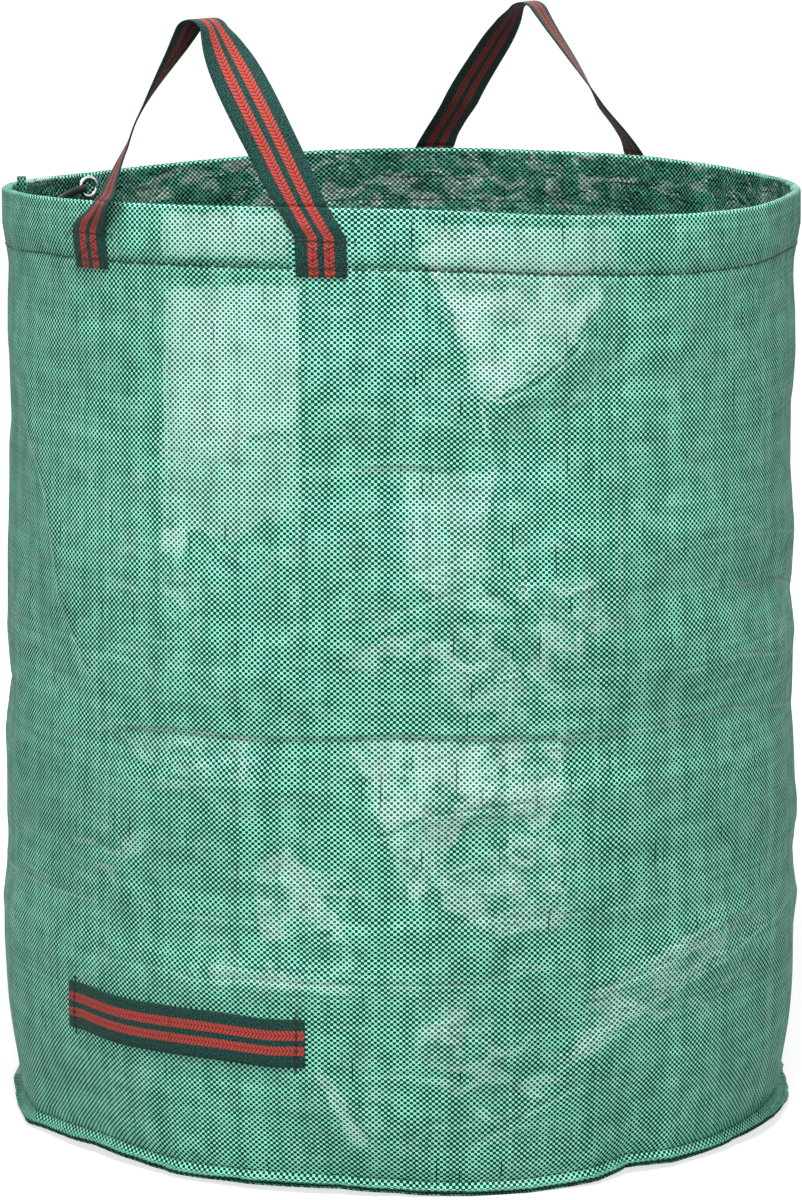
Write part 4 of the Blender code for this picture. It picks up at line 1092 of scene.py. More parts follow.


# ------------------------------------------------------------------ the cloths

# Patches of painted highlight, as (strength, how crumpled, corners)
PAINTED_HIGHLIGHT_PATCHES = (
    (0.90, 0.45, ((31.5, 0.755), (35.0, 0.722), (39.0, 0.652), (40.5, 0.640), (45.0, 0.654), (51.0, 0.672),
                  (55.0, 0.704), (58.0, 0.724), (55.5, 0.750), (50.0, 0.768), (41.0, 0.772), (34.0, 0.768))),
    (0.72, 0.00, ((-4.6, 0.722), (15.4, 0.728), (15.2, 0.618), (8.0, 0.606), (6.0, 0.575), (-5.5, 0.586))),
    (0.45, 0.10, ((-5.5, 0.586), (15.2, 0.612), (15.0, 0.560), (6.0, 0.525), (-5.5, 0.540))),
    (0.85, 0.30, ((-5.6, 0.531), (-1.0, 0.533), (-2.5, 0.505), (-5.6, 0.512))),
    (0.60, 0.40, ((29.5, 0.583), (42.0, 0.583), (40.3, 0.545), (39.6, 0.475), (34.5, 0.482), (29.5, 0.508))),
    (0.90, 0.75, ((22.0, 0.371), (52.0, 0.368), (51.5, 0.322), (48.5, 0.296), (39.0, 0.318), (31.0, 0.236),
                  (27.5, 0.292))),
    (0.65, 1.00, ((33.5, 0.266), (50.5, 0.296), (52.0, 0.218), (41.0, 0.214), (35.0, 0.238))),
    (0.75, 0.90, ((9.0, 0.266), (13.8, 0.284), (21.5, 0.221), (15.5, 0.216), (10.0, 0.200))),
    (0.60, 0.10, ((30.0, 0.776), (60.0, 0.780), (59.5, 0.748), (52.0, 0.745), (38.0, 0.748))),
    (0.70, 0.10, ((-5.0, 0.783), (14.0, 0.784), (14.0, 0.748), (-5.0, 0.748))),
    (0.65, 0.80, ((52.0, 0.100), (74.0, 0.160), (90.0, 0.205), (72.0, 0.193), (56.0, 0.160))),
    (0.70, 0.30, ((2.0, 0.186), (22.0, 0.176), (22.0, 0.166), (2.0, 0.172))),
    (0.75, 0.30, ((17.5, 0.100), (19.5, 0.100), (25.0, 0.036), (22.5, 0.036))),
    (0.50, 0.80, ((-14.0, 0.355), (8.0, 0.370), (7.0, 0.350), (-10.0, 0.342))),
    (0.45, 0.80, ((36.0, 0.470), (44.0, 0.440), (48.0, 0.400), (38.0, 0.392), (33.0, 0.420))),
    (0.50, 1.00, ((50.0, 0.500), (56.5, 0.498), (58.5, 0.462), (52.5, 0.430), (47.5, 0.452))),
    (0.50, 0.90, ((31.0, 0.160), (38.5, 0.160), (37.0, 0.100), (33.0, 0.105))),
)


def painted_highlight_maps():
    """(metres inside a painted highlight patch, less than nothing outside, its strength, its crumpling) over the wall.
    """
    angle, z = map_grid()
    along = ROUND * angle / 360.0
    # Painted highlight patches like the placed ones, on the other sides
    blotch = soft_noise(angle, z, 15, 0.11, 43) + 0.5 * soft_noise(angle, z, 40, 0.045, 44)
    depth = np.maximum(0.030 * (blotch - 0.42) - 0.03 * (1 - hidden_side(angle, 82)), -0.02)
    gain = np.full(angle.shape, 0.7)
    busy = np.where(depth > -0.01, 0.5, 0.0)
    for strength, crumpled, corners in PAINTED_HIGHLIGHT_PATCHES:
        knots = [(ROUND * a / 360.0, h) for a, h in corners]
        near = np.full(angle.shape, 9.0)
        inside = np.zeros(angle.shape, bool)
        for (x0, y0), (x1, y1) in zip(knots, knots[1:] + knots[:1]):
            dx, dy = x1 - x0, y1 - y0
            t = np.clip(((along - x0) * dx + (z - y0) * dy) / (dx * dx + dy * dy), 0, 1)
            near = np.minimum(near, np.hypot(along - x0 - t * dx, z - y0 - t * dy))
            crosses = (y0 > z) != (y1 > z)
            with np.errstate(divide="ignore", invalid="ignore"):
                inside ^= crosses & (along < x0 + (z - y0) * dx / dy)
        own = np.where(inside, near, -near)
        gain = np.where(own > depth, strength, gain)
        busy = np.where(own > 0, crumpled, busy)
        depth = np.maximum(depth, own)
    return np.clip(depth, -0.02, 0.02), softened(gain, 3), softened(busy, 3)


def add_painted_light_and_fold_maps(thing, angle, z, busy=0.0):
    """Tells the cloth's material where to paint highlights, where it is crumpled and where it is folded."""
    # Tables of the painted highlight patches
    depth, gain, crumpled = kept_map("whitened", painted_highlight_maps)
    ridge, apart = kept_map("folds", fold_fields)
    angle, z = np.broadcast_arrays(angle, z)
    inside = read_map(depth, angle, z)
    set_value(thing, "haze_depth", 100 * inside)
    set_value(thing, "haze_gain", read_map(gain, angle, z))
    everywhere = 0.5 * crumpling(angle, z) * (1 - 0.8 * ease(inside / 0.008))
    crumpled = np.maximum(everywhere, read_map(crumpled, angle, z))
    set_value(thing, "crumple", np.clip(np.maximum(crumpled, busy), 0, 1))
    near = read_map(apart, angle, z)
    set_value(thing, "fold_apart", 100 * near)
    top = read_map(ridge, angle, z) * np.exp(np.abs(near) / RIDGE_FADE) * ease(1.6 - np.abs(near) / 0.010)
    set_value(thing, "fold_rise", top * ease((HEM_LINE + 0.004 - z) / 0.012))


# The section of the base seam's allowance, as (share of its reach, height off the floor)
LIP = ((0.35, 0.0028), (0.75, 0.0026), (1.0, 0.0024), (1.0, 0.0015), (0.6, 0.0015), (0.0, 0.0016))
# How deep the base seam's stitches draw the wall in
BASE_PINCH = 0.0030


def lip_curl(angle):
    """How far the allowance curls up off the floor where it flares."""
    return 0.0055 * ease(1 - np.abs(wrapped(angle - 92)) / 24)


class SACK_OT_wall(bpy.types.Operator):
    """Builds the wall cloth, crumpled, with its foot turned out into the base seam"""

    bl_idname = "sack.wall"
    bl_label = "Wall Cloth"

    def execute(self, context):
        sizes = context.scene.sack_sizes
        tapes, per_metre = tape_counts(sizes)
        angle = np.linspace(-180, 180, COLUMNS, endpoint=False)
        # Closer rows at the foot, where the base seam grips it
        low = np.array([0.0034, 0.0052, 0.0075, 0.0105, 0.0140])
        heights = np.concatenate([np.linspace(HEM_LINE, 0.019, WALL_ROWS - len(low)), low[::-1]])
        inside = np.concatenate([low, np.linspace(0.019, HEM_LINE, INNER_ROWS - len(low))])
        outer = self.face(angle, heights, 0.0)
        inner = self.face(angle, inside, 0.0010)
        foot_out = relief(angle, low[0]) - draw(angle, low[0])
        foot_up = lift(angle, low[0])
        flap = self.flap(angle)
        curl = 0.0010 + lip_curl(angle)
        curl = curl + 0.0010 * (1 + round_noise(angle, 40, 96))
        base = profile(0.0) + foot_out
        lip = [on_bag(base + flap * reach, angle, rise + foot_up + curl * reach**2) for reach, rise in LIP]
        points = np.concatenate([outer, np.stack(lip), inner])
        run = np.concatenate([heights, -0.003 * np.arange(1, 4), -0.003 * np.arange(3, 0, -1), inside])
        u = np.linspace(0, tapes, COLUMNS + 1)
        v = np.concatenate([run, run[:1]]) * per_metre
        uv = np.stack(np.meshgrid(u, v), -1)
        slots = [0] * (len(heights) + 2) + [1] * (len(inside) + 4)
        materials = [outer_cloth(context), inner_cloth(context)]
        wall = grid_object("wall_cloth", points, uv, materials, slots, True, True)
        add_painted_light_and_fold_maps(wall, angle, run[:, None])
        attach(wall, "base")
        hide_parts("wall_panel")
        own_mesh(wall)
        return {"FINISHED"}

    @staticmethod
    def flap(angle):
        """How far the base seam's allowance stands out of the wall's foot."""
        flare = 0.0056 * ease(1 - np.abs(wrapped(angle - 96)) / 30)
        return 0.0062 + flare + 0.0012 * round_noise(angle, 70, 95)

    def face(self, angle, heights, inset):
        """One face of the cloth, drawn in where the base seam's stitches grip it."""
        a, z = np.meshgrid(angle, heights)
        pinch = BASE_PINCH * np.exp(-(((z - 0.0105) / 0.0045) ** 2))
        return on_bag(profile(z) + relief(a, z) - draw(a, z) - pinch - inset, a, z + lift(a, z))


class SACK_OT_base(bpy.types.Operator):
    """Builds the round base cloth, slightly buckled, with its edge in the seam"""

    bl_idname = "sack.base"
    bl_label = "Base Cloth"

    def execute(self, context):
        sizes = context.scene.sack_sizes
        angle = np.linspace(-180, 180, 240, endpoint=False)
        shares = np.concatenate([[0.004], np.linspace(0.03, 1.0, 44)])
        edge = profile(0.0) + relief(angle, 0.0) - draw(angle, 0.0)
        edge = edge + SACK_OT_wall.flap(angle) - 0.0008
        rise = lift(angle, 0.0)
        s, a = np.meshgrid(shares, angle, indexing="ij")
        radius = s * edge[None]
        x, y = radius * np.sin(np.radians(a)), -radius * np.cos(np.radians(a))
        waves = np.sin(x * 31 + 1.7 * np.sin(y * 17)) * np.cos(y * 27 + 1.3 * np.sin(x * 21 + 0.6))
        waves = 0.5 + 0.5 * waves
        curl = lip_curl(a) * ease((s - 0.975) / 0.025)
        top = 0.0011 + 0.0032 * waves * ease((1 - s) / 0.1) + rise[None] * ease((s - 0.88) / 0.12) + curl
        thick = 0.0010
        upper = np.stack([x, y, top], -1)
        lower = np.stack([x, y, top - thick], -1)
        points = np.concatenate([upper, lower[::-1]])
        scale = np.array([1 / sizes.tape_round, 1 / sizes.tape_up])
        flat = points[..., :2] * scale
        uv = np.concatenate([flat, flat[:, :1]], 1)
        c = context.scene.sack_colours
        # The base takes the darker inside colours too: painted shade
        material = kept_material(
            "laminated_tape_base", tape_cloth, c.light_inside_painted_shade, c.dark_inside_painted_shade, c.film, 0.48, 0.25, haze=False,
        )
        base = grid_object("base_cloth", points, uv, [material], None, True, False)
        mend(base, len(angle))
        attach(base, "base")
        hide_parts("base_panel")
        return {"FINISHED"}


def hem_section():
    """(radius, height, inside face, loose) round the hem's folded section, from its stitch line."""
    top = HEIGHT
    wide = CLOTH + HEM_CAVITY
    full = wide + CLOTH
    narrow = CLOTH + HEM_PINCHED
    bend = full / 2
    centre = (RIM_RADIUS - bend, top - bend)
    cone_top = top - HEM_STRAIGHT
    lap = top - HEM_HEIGHT - HEM_LAP
    rows = []
    for z in np.linspace(HEM_LINE, centre[1], 9):
        rows.append((float(profile(z)), z, 0, 0.0))
    for turn in np.linspace(0, math.pi, 11)[1:-1]:
        loose = float(ease(turn / math.pi))
        rows.append((centre[0] + bend * math.cos(turn), centre[1] + bend * math.sin(turn), 0, loose))
    for z in np.linspace(centre[1], lap, 15):
        inset = between(narrow + CLOTH, full, (z - (cone_top - HEM_PINCH)) / HEM_PINCH)
        rows.append((float(profile(z)) - float(inset), z, 1, 1.0))
    for z in np.linspace(lap, centre[1], 15):
        inset = between(narrow, wide, (z - (cone_top - HEM_PINCH)) / HEM_PINCH)
        rows.append((float(profile(z)) - float(inset), z, 1, 1.0))
    for turn in np.linspace(math.pi, 0, 7)[1:-1]:
        rows.append((
            centre[0] + HEM_CAVITY / 2 * math.cos(turn), centre[1] + HEM_CAVITY / 2 * math.sin(turn), 1,
            float(ease(turn / math.pi)),
        ))
    for z in np.linspace(centre[1], HEM_LINE, 7):
        rows.append((float(profile(z)) - CLOTH, z, 1, 0.0))
    return rows


EYELET_TILT = math.radians(20.0)
EYELET_STAND = 0.0034


def from_eyelet(angle, z):
    """(metres round the sack, metres in all) to places on the hem from the eyelet's middle."""
    along = ROUND * wrapped(angle - EYELET_ANGLE) / 360.0
    return along, np.hypot(along, z - EYELET_HEIGHT)


def eyelet_pull(angle, z):
    """How far the hem's inner layer stands in round the eyelet, which its band has pulled askew."""
    along, away = from_eyelet(angle, z)
    return np.maximum(EYELET_STAND - math.tan(EYELET_TILT) * along, 0.0) * ease((0.026 - away) / 0.016)


def hem_slack(angle, z):
    """How far the hem's inner layer, which the stitches leave loose, stands into the sack."""
    wave = soft_noise(angle + 130 * z, z, 80, 0.06, 97) + 0.6 * soft_noise(angle - 70 * z, z, 140, 0.04, 90)
    _, away = from_eyelet(angle, z)
    free = ease((z - HEM_LINE) / 0.010) * ease((away - 0.012) / 0.02)
    return 0.0026 * np.maximum(wave + 0.4, 0) * free + eyelet_pull(angle, z)


class SACK_OT_hem(bpy.types.Operator):
    """Builds the folded hem and the side seam's allowance"""

    bl_idname = "sack.hem"
    bl_label = "Hem"

    def execute(self, context):
        tapes, per_metre = tape_counts(context.scene.sack_sizes)
        angle = np.linspace(-180, 180, COLUMNS, endpoint=False)
        radius, height, inside, loose = np.array(hem_section()).T
        run = HEM_LINE + run_along(np.stack([radius, height], -1))
        a = np.broadcast_to(angle, (len(run), COLUMNS))
        z = np.broadcast_to(height[:, None], a.shape)
        own = hem_slack(a, z) * loose[:, None]
        points = on_bag(radius[:, None] + relief(a, z) - own, a, z + lift(a, z))
        u = np.linspace(0, tapes, COLUMNS + 1)
        v = np.concatenate([run, run[-1:] + 0.001]) * per_metre
        uv = np.stack(np.meshgrid(u, v), -1)
        materials = [outer_cloth(context), inner_cloth(context)]
        hem = grid_object("hem_cloth", points, uv, materials, inside, True, True)
        add_painted_light_and_fold_maps(hem, a, np.minimum(run, HEIGHT)[:, None], 0.9 * inside[:, None])
        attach(hem, "rim")
        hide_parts("hem_band")
        self.allowance(context, "seam_allowance_hem", HEIGHT - 0.045, HEIGHT + 0.005, 0.0052, "rim")
        low = self.allowance(context, "seam_allowance_wall", 0.010, HEM_LINE - 0.024, 0.0012, "base")
        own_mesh(low)
        return {"FINISHED"}

    def allowance(self, context, name, low, high, root, body):
        """The seam allowance, two layers of cloth that stand into the sack and wave."""
        _, per_metre = tape_counts(context.scene.sack_sizes)
        count = max(8, int((high - low) / 0.006))
        z = np.linspace(low, high, count)
        rng = np.random.RandomState(17)
        wave = np.interp(z, np.linspace(0, 0.8, 30), rng.uniform(-1, 1, 30))
        depth = SEAM_DEPTH + 0.0015 * np.interp(z, np.linspace(0, 0.8, 60), rng.uniform(-1, 1, 60))
        section = ((0.0, -1), (0.55, -1), (1.0, -1), (1.0, 1), (0.55, 1), (0.0, 1))
        rows = []
        for share, side in section:
            lean = arc_of(1.0) * (0.0008 * side + 0.0045 * wave * share**1.5)
            inset = root + (depth - root) * share
            held = np.minimum(z, HEIGHT)
            radius = profile(held) + relief(SEAM_ANGLE, held) - inset
            rows.append(on_bag(radius, SEAM_ANGLE + lean, z + lift(SEAM_ANGLE, held)))
        points = np.stack(rows, 1)
        u = np.array([s * SEAM_DEPTH * 400 for s, _ in section] + [0.0])
        uv = np.stack(np.meshgrid(u, z * per_metre), -1)
        made = grid_object(name, points, uv, [inner_cloth(context)], None, True, False)
        mend(made, len(section))
        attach(made, body)
        return made


# ------------------------------------------------------------- hoop and eyelet


def eyelet_axes():
    """(across, up, inwards) of the eyelet, which stands tilted about its upright."""
    inwards = -outward(EYELET_ANGLE)
    up = np.array((0.0, 0.0, 1.0))
    across = np.cross(up, inwards)
    turn = EYELET_TILT * math.copysign(1.0, float(np.dot(across, on_bag(1.0, EYELET_ANGLE + 90, 0.0))))
    turned = across * math.cos(turn) - inwards * math.sin(turn)
    return turned, up, inwards * math.cos(turn) + across * math.sin(turn)


def hoop_path():
    """(points, angles) along the band: round the hem, out through the eyelet and along the inside."""
    ring_depth = CLOTH + 0.0006 + HOOP_THICK / 2
    flange = 2 * CLOTH + HEM_CAVITY + SEWN_GAP + 0.0013
    tail_depth = flange + 0.0006 + HOOP_THICK / 2
    bend, tail = arc_of(HOOP_BEND), arc_of(HOOP_TAIL)
    start = EYELET_ANGLE + arc_of(0.0109)
    crossing = EYELET_ANGLE + 360
    angles = list(np.linspace(start, crossing - bend, 200))
    depths = [ring_depth] * len(angles)
    heights = [HOOP_HEIGHT] * len(angles)
    for share in np.linspace(0, 1, 17)[1:]:
        angles.append(crossing - bend + 2 * bend * share)
        depths.append(float(between(ring_depth, tail_depth + EYELET_STAND, share)))
        heights.append(HOOP_HEIGHT)
    for share in np.linspace(0, 1, 13)[1:]:
        angles.append(crossing + bend + (tail - bend) * share)
        depths.append(tail_depth + EYELET_STAND + 0.0060 * share * share)
        heights.append(HOOP_HEIGHT - 0.006 * float(ease(share)))
    angles, depths, heights = np.array(angles), np.array(depths), np.array(heights)
    path = draped(on_bag(RIM_RADIUS - depths, angles, heights))
    # The eyelet keeps the band up where the rim dips
    held = ease(1.5 - np.abs(wrapped(angles - EYELET_ANGLE)) / 16)
    path[:, 2] += (heights - path[:, 2]) * held
    return path, outward(angles)


class SACK_OT_hoop(bpy.types.Operator):
    """Builds the hoop band, led out through its eyelet"""

    bl_idname = "sack.hoop"
    bl_label = "Hoop and Eyelet"

    def execute(self, context):
        colours = context.scene.sack_colours
        path, out = hoop_path()
        along = unit(np.gradient(path, axis=0))
        up = unit(np.cross(out, along))
        up = up * np.sign(up[:, 2:3])
        across = unit(np.cross(along, up))
        w, t, r = HOOP_WIDTH / 2, HOOP_THICK / 2, 0.0003
        section = ((w - r, t), (w, t - r), (w, r - t), (w - r, -t), (r - w, -t), (-w, r - t), (-w, t - r), (r - w, t))
        points = np.stack([path + up * a + across * b for a, b in section], 1)
        run = run_along(path)
        uv = np.stack(np.meshgrid(np.linspace(0, 1, len(section) + 1), run), -1)
        material = kept_material("extruded_polypropylene_band", band_plastic, colours.band)
        hoop = grid_object("hoop_band", points, uv, [material], None, True, False)
        mend(hoop, len(section))
        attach(hoop, "rim")
        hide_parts("hem_hoop")
        self.eyelet(context)
        return {"FINISHED"}

    def eyelet(self, context):
        colours = context.scene.sack_colours
        size = context.scene.sack_sizes.eyelet_radius
        depth = 2 * CLOTH + HEM_CAVITY
        seat = SEWN_GAP
        hole, wall = 0.0063, 0.0068
        back = CLOTH + SEWN_GAP + 0.0004
        mid = (hole + size) / 2
        section = [
            (hole, -back), (hole, seat + 0.0004), (hole + 0.0003, seat + 0.0009), (hole + 0.0009, seat + 0.0013),
            (mid, seat + 0.0015), (size - 0.0010, seat + 0.0012), (size - 0.0003, seat + 0.0008),
            (size, seat + 0.0003), (size - 0.0002, seat), (wall, seat), (wall, -back + 0.0002),
            (wall + 0.0002, -back), (wall, -back - 0.0002),
        ]
        material = kept_material("nickel_plated_brass", plated_brass, colours.metal)
        flange = self.ring(context, "eyelet", section, depth, material)
        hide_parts("eyelet_flange")
        washer = [(0.0092, -CLOTH - SEWN_GAP), (0.0092, -back), (0.0071, -back), (0.0071, -CLOTH - SEWN_GAP)]
        ring = self.ring(context, "eyelet_back_ring", washer, depth, material)
        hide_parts("eyelet_washer")

    def ring(self, context, name, section, depth, material):
        across, up, inwards = eyelet_axes()
        centre = on_bag(RIM_RADIUS - depth - EYELET_STAND, EYELET_ANGLE, EYELET_HEIGHT)
        smooth = on_bag(RIM_RADIUS, EYELET_ANGLE, EYELET_HEIGHT)
        moved = (draped(smooth) - smooth) * (1, 1, 0)
        turn = np.linspace(0, 2 * math.pi, 56, endpoint=False)
        spin = across * np.cos(turn)[:, None] + up * np.sin(turn)[:, None]
        points = np.stack([centre + moved + spin * radius + inwards * stand for radius, stand in section])
        uv = np.stack(np.meshgrid(np.linspace(0, 1, 57), np.linspace(0, 1, len(section) + 1)), -1)
        made = grid_object(name, points, uv, [material], None, True, True)
        mend(made)
        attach(made, "rim")
        return made


# ----------------------------------------------------------------- the webbing

# Places across a strap, from its left selvedge to its right
ACROSS = np.linspace(-1, 1, 15)
MIDDLE = len(ACROSS) // 2
# Rows of points along a strap's sewn end and along its riser
SEWN_ROWS, RISER_ROWS = 13, 11
# The middle of a strap that lies on the hem
SEWN_RADIUS = RIM_RADIUS + SEWN_GAP + WEBBING / 2


def strap_object(name, middle, normal, run, context):
    """A strap from the points of its middle surface, (stations, places across, 3), with round selvedges."""
    half = WEBBING / 2
    thin = np.where(np.abs(ACROSS) > 0.9, 0.72, 1.0)[None, :, None]
    front = middle + normal * half * thin
    back = middle - normal * half * thin
    side = unit(middle[:, -1] - middle[:, -2])
    right = middle[:, -1:] + side[:, None] * half * 0.7
    side = unit(middle[:, 0] - middle[:, 1])
    left = middle[:, :1] + side[:, None] * half * 0.7
    points = np.concatenate([left, front, right, back[:, ::-1]], 1)
    share = (ACROSS + 1) / 2
    u = np.concatenate([[0.0], share, [1.0], share[::-1], [0.0]])
    uv = np.stack(np.meshgrid(u, run), -1)
    made = grid_object(name, points, uv, [webbing(context), webbing_painted_shade(context)], None, True, False)
    places = points.shape[1]
    column = np.arange(len(made.data.polygons)) % places
    made.data.polygons.foreach_set("material_index", (column > len(ACROSS)).astype(np.int32))
    mend(made, places)
    return made


def surface_normals(middle):
    """Unit normals of a grid of points, out of the side that faces right-handed along then across."""
    along = np.gradient(middle, axis=0)
    across = np.gradient(middle, axis=1)
    return unit(np.cross(across, along))


def bend_height(loop_rise):
    """Height of the centre that the bend on top of a handle turns about."""
    return HEIGHT + loop_rise - WEBBING / 2 - APEX_BEND


def limb_slope(loop_rise):
    """(half the loop's span at the rim, lean of a limb from upright), as the source has it."""
    foot = SEWN_RADIUS * math.sin(math.radians(HALF_ANGLE))
    rise = bend_height(loop_rise) - HINGE
    reach = math.hypot(foot, rise)
    lean = math.atan2(foot, rise) - math.asin(APEX_BEND / reach)
    return foot - (FOLD - HINGE) * math.tan(lean), lean


# How far each limb of a handle has turned edge-on, as (share of its height, degrees), and how far its foot
# slips towards the handle's middle in metres: its left limb, its right
LIMB_TURNS = {
    "front": (
        (
            ((0.0, 27), (0.10, 32), (0.16, 40), (0.22, 56), (0.35, 60), (0.50, 62), (0.62, 68), (0.80, 79), (1.0, 90)),
            0.014,
        ),
        (((0.0, 3), (0.30, 15), (0.60, 32), (0.83, 56), (1.0, 90)), 0.0),
    ),
    "rear": (
        (((0.0, 32), (0.15, 55), (0.35, 67), (0.60, 80), (0.85, 85), (1.0, 90)), 0.002),
        (((0.0, 34), (0.14, 56), (0.50, 62), (0.85, 67), (1.0, 90)), 0.004),
    ),
}


def limb_turn(marks, share):
    """A limb's turn in radians, read from its marks with their corners rounded."""
    at = [m[0] for m in marks]
    turn = np.radians([m[1] for m in marks])
    reach = min(0.12, share, 1 - share)
    return float(np.interp(share + reach * np.linspace(-1, 1, 13), at, turn).mean())


def handle_limb(width, loop_rise, marks, slip, side):
    """The right limb of a handle from its sewn end to its bend, about -Y. side is -1 for one that is mirrored."""
    half_span, lean = limb_slope(loop_rise)
    fold = math.asin(half_span / SEWN_RADIUS)
    foot_y = -SEWN_RADIUS * math.cos(fold)
    touch = np.array([APEX_BEND * math.cos(lean), 0, bend_height(loop_rise) + APEX_BEND * math.sin(lean)])
    foot = np.array([half_span, 0, FOLD])
    down = unit(foot - touch)
    level = np.array([math.cos(fold), math.sin(fold), 0.0])
    square = np.array([-down[2], 0.0, down[0]])
    inward = np.array([0.0, 1.0, 0.0])

    def leaned(flat, turn):
        return flat * math.cos(turn) + unit(inward - flat * np.dot(flat, inward)) * math.sin(turn)

    rows = []
    for z in np.concatenate([np.linspace(STRAP_END, HINGE, SEWN_ROWS), np.linspace(HINGE, FOLD, RISER_ROWS)[1:]]):
        share = float(np.clip((z - HINGE) / (FOLD - HINGE), 0, 1))
        angles = HALF_ANGLE + (math.degrees(fold) - HALF_ANGLE) * share + ACROSS * arc_of(width / 2)
        # Just above its upper stitch the strap buckles away from the cloth
        buckle = 0.35 + 0.65 * np.cos(2.4 * ACROSS + side) ** 2
        buckle = 0.0020 * math.exp(-(((z - HINGE - 0.008) / 0.006) ** 2)) * buckle
        row = on_bag(profile(z) + SEWN_GAP + WEBBING / 2 + buckle, angles, z)
        turn = limb_turn(marks, 0.0) * float(ease((z - HINGE) / (FOLD - HINGE)))
        angles = angles - arc_of(slip) * float(ease(share))
        row = on_bag(np.hypot(row[:, 0], row[:, 1]), angles, z)
        rows.append(row + (leaned(level, turn) - level) * (ACROSS[:, None] - 1) * width / 2)
    # The free limb bows a little, and leans in towards the bend
    for share in np.linspace(0, 1, 44)[1:]:
        point = foot + (touch - foot) * share
        point[0] += 0.0022 * math.sin(math.pi * min(share * 1.15, 1.0)) - slip * float(1 - ease(share / 0.5))
        point[1] = float(between(foot_y, foot_y + APEX_SINK, share)) - 0.0035 * math.sin(math.pi * share)
        turn = limb_turn(marks, share)
        flat = unit(level + (square - level) * min(share / 0.35, 1.0))
        direction = leaned(flat, turn)
        hinged = (flat - direction) * (width / 2) * max(0.0, 1 - share / 0.35) ** 1.5
        rows.append(point + hinged + direction * ACROSS[:, None] * width / 2)
    return np.array(rows)


def handle_surface(name, handle_angle, width, loop_rise):
    """(middle surface, run) of a whole handle, from its left end over the loop to its right end."""
    _, lean = limb_slope(loop_rise)
    left, right = (
        handle_limb(width, loop_rise, marks, slip, side) for (marks, slip), side in zip(LIMB_TURNS[name], (-1, 1))
    )
    left = left * np.array([-1.0, 1.0, 1.0])
    crown_y = right[-1][:, 1]
    crown = []
    for turn in np.linspace(math.pi - lean, lean, 15)[1:-1]:
        x, z = APEX_BEND * math.cos(turn), bend_height(loop_rise) + APEX_BEND * math.sin(turn)
        crown.append(np.stack([np.full(crown_y.shape, x), crown_y, np.full(crown_y.shape, z)], -1))
    whole = np.concatenate([left, np.array(crown), right[::-1]])
    turn = math.radians(handle_angle)
    spun = whole @ np.array([[math.cos(turn), math.sin(turn), 0], [-math.sin(turn), math.cos(turn), 0], [0, 0, 1]])
    spun = draped(spun)
    return spun, run_along(spun[:, MIDDLE])


class SACK_OT_handles(bpy.types.Operator):
    """Builds the two lifting handles, each one strap from end to end"""

    bl_idname = "sack.handles"
    bl_label = "Lifting Handles"

    def execute(self, context):
        width = context.scene.sack_sizes.webbing_width
        for name, angle, rise in (("front", 0.0, LOOP_RISE), ("rear", REAR_ANGLE, REAR_RISE)):
            middle, run = handle_surface(name, angle, width, rise)
            normal = surface_normals(middle)
            if np.dot(normal[2, MIDDLE], outward(angle - HALF_ANGLE)) < 0:
                normal = -normal
            cut = SEWN_ROWS + RISER_ROWS - 2
            parts = (
                ("left", slice(0, cut + 1)), ("loop", slice(cut, len(run) - cut)),
                ("right", slice(len(run) - cut - 1, None)),
            )
            way = outward(angle) * RIM_RADIUS
            for part, rows in parts:
                strap = strap_object(f"{name}_handle_{part}", middle[rows], normal[rows], run[rows], context)
                if part == "loop":
                    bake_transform(strap)
                    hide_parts(f"{name}_handle_loop")
                else:
                    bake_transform(strap)
                    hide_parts(f"{name}_handle_end_{part}", f"{name}_handle_riser_{part}")
        return {"FINISHED"}


class SACK_OT_tip_handle(bpy.types.Operator):
    """Builds the tipping handle, in two halves that meet at its middle"""

    bl_idname = "sack.tip_handle"
    bl_label = "Tipping Handle"

    def execute(self, context):
        width = context.scene.sack_sizes.webbing_width
        count = 61
        rows = np.linspace(TIP_ANGLE - TIP_HALF_ANGLE, TIP_ANGLE + TIP_HALF_ANGLE, count)
        z = TIP_HEIGHT + ACROSS * width / 2
        share = np.linspace(-1, 1, count)[:, None]
        free = ease((1 - np.abs(share)) / 0.25)
        a, h = np.meshgrid(rows, z, indexing="ij")
        slack = 0.0018 * free * (1 - share**2) + 0.0005 * free * np.sin(share * 9)
        wave = 0.0012 * np.sin(share * 5 + 0.6) * free
        middle = on_cloth(a, h + wave, SEWN_GAP + WEBBING / 2 + slack)
        smooth = on_bag(profile(h) + 0.0012 + slack, a, h + lift(a, h) + wave)
        middle = middle + (smooth - middle) * 0.55 * free[..., None]
        # It bridges the dents of the cloth, but never sinks into it
        reach = np.hypot(middle[..., 0], middle[..., 1])
        floor = np.hypot(*np.moveaxis(on_cloth(a, h, SEWN_GAP + WEBBING / 2)[..., :2], -1, 0))
        middle[..., :2] *= (np.maximum(reach, floor) / reach)[..., None]
        normal = surface_normals(middle)
        halfway = count // 2
        if np.dot(normal[halfway, MIDDLE], outward(TIP_ANGLE)) < 0:
            normal = -normal
        run = run_along(middle[:, MIDDLE])
        near = arc_of(0.0095)
        for side, sign, part in (("left", -1, slice(0, halfway + 1)), ("right", 1, slice(halfway, count))):
            strap = strap_object(f"tip_handle_{side}", middle[part], normal[part], run[part], context)
            start = on_bag(RIM_RADIUS, TIP_ANGLE + sign * (TIP_HALF_ANGLE - near), TIP_HEIGHT)
            end = on_bag(RIM_RADIUS, TIP_ANGLE + sign * 2.0, TIP_HEIGHT)
            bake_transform(strap)
            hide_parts(f"tip_handle_end_{side}", "tip_handle_strap")
        return {"FINISHED"}


# ---------------------------------------------------------------- the stitching

# Lengths of the stitches in the handles' boxes and in the tipping handle's bars
BOX_STITCH, BAR_STITCH = 0.0052, 0.0060


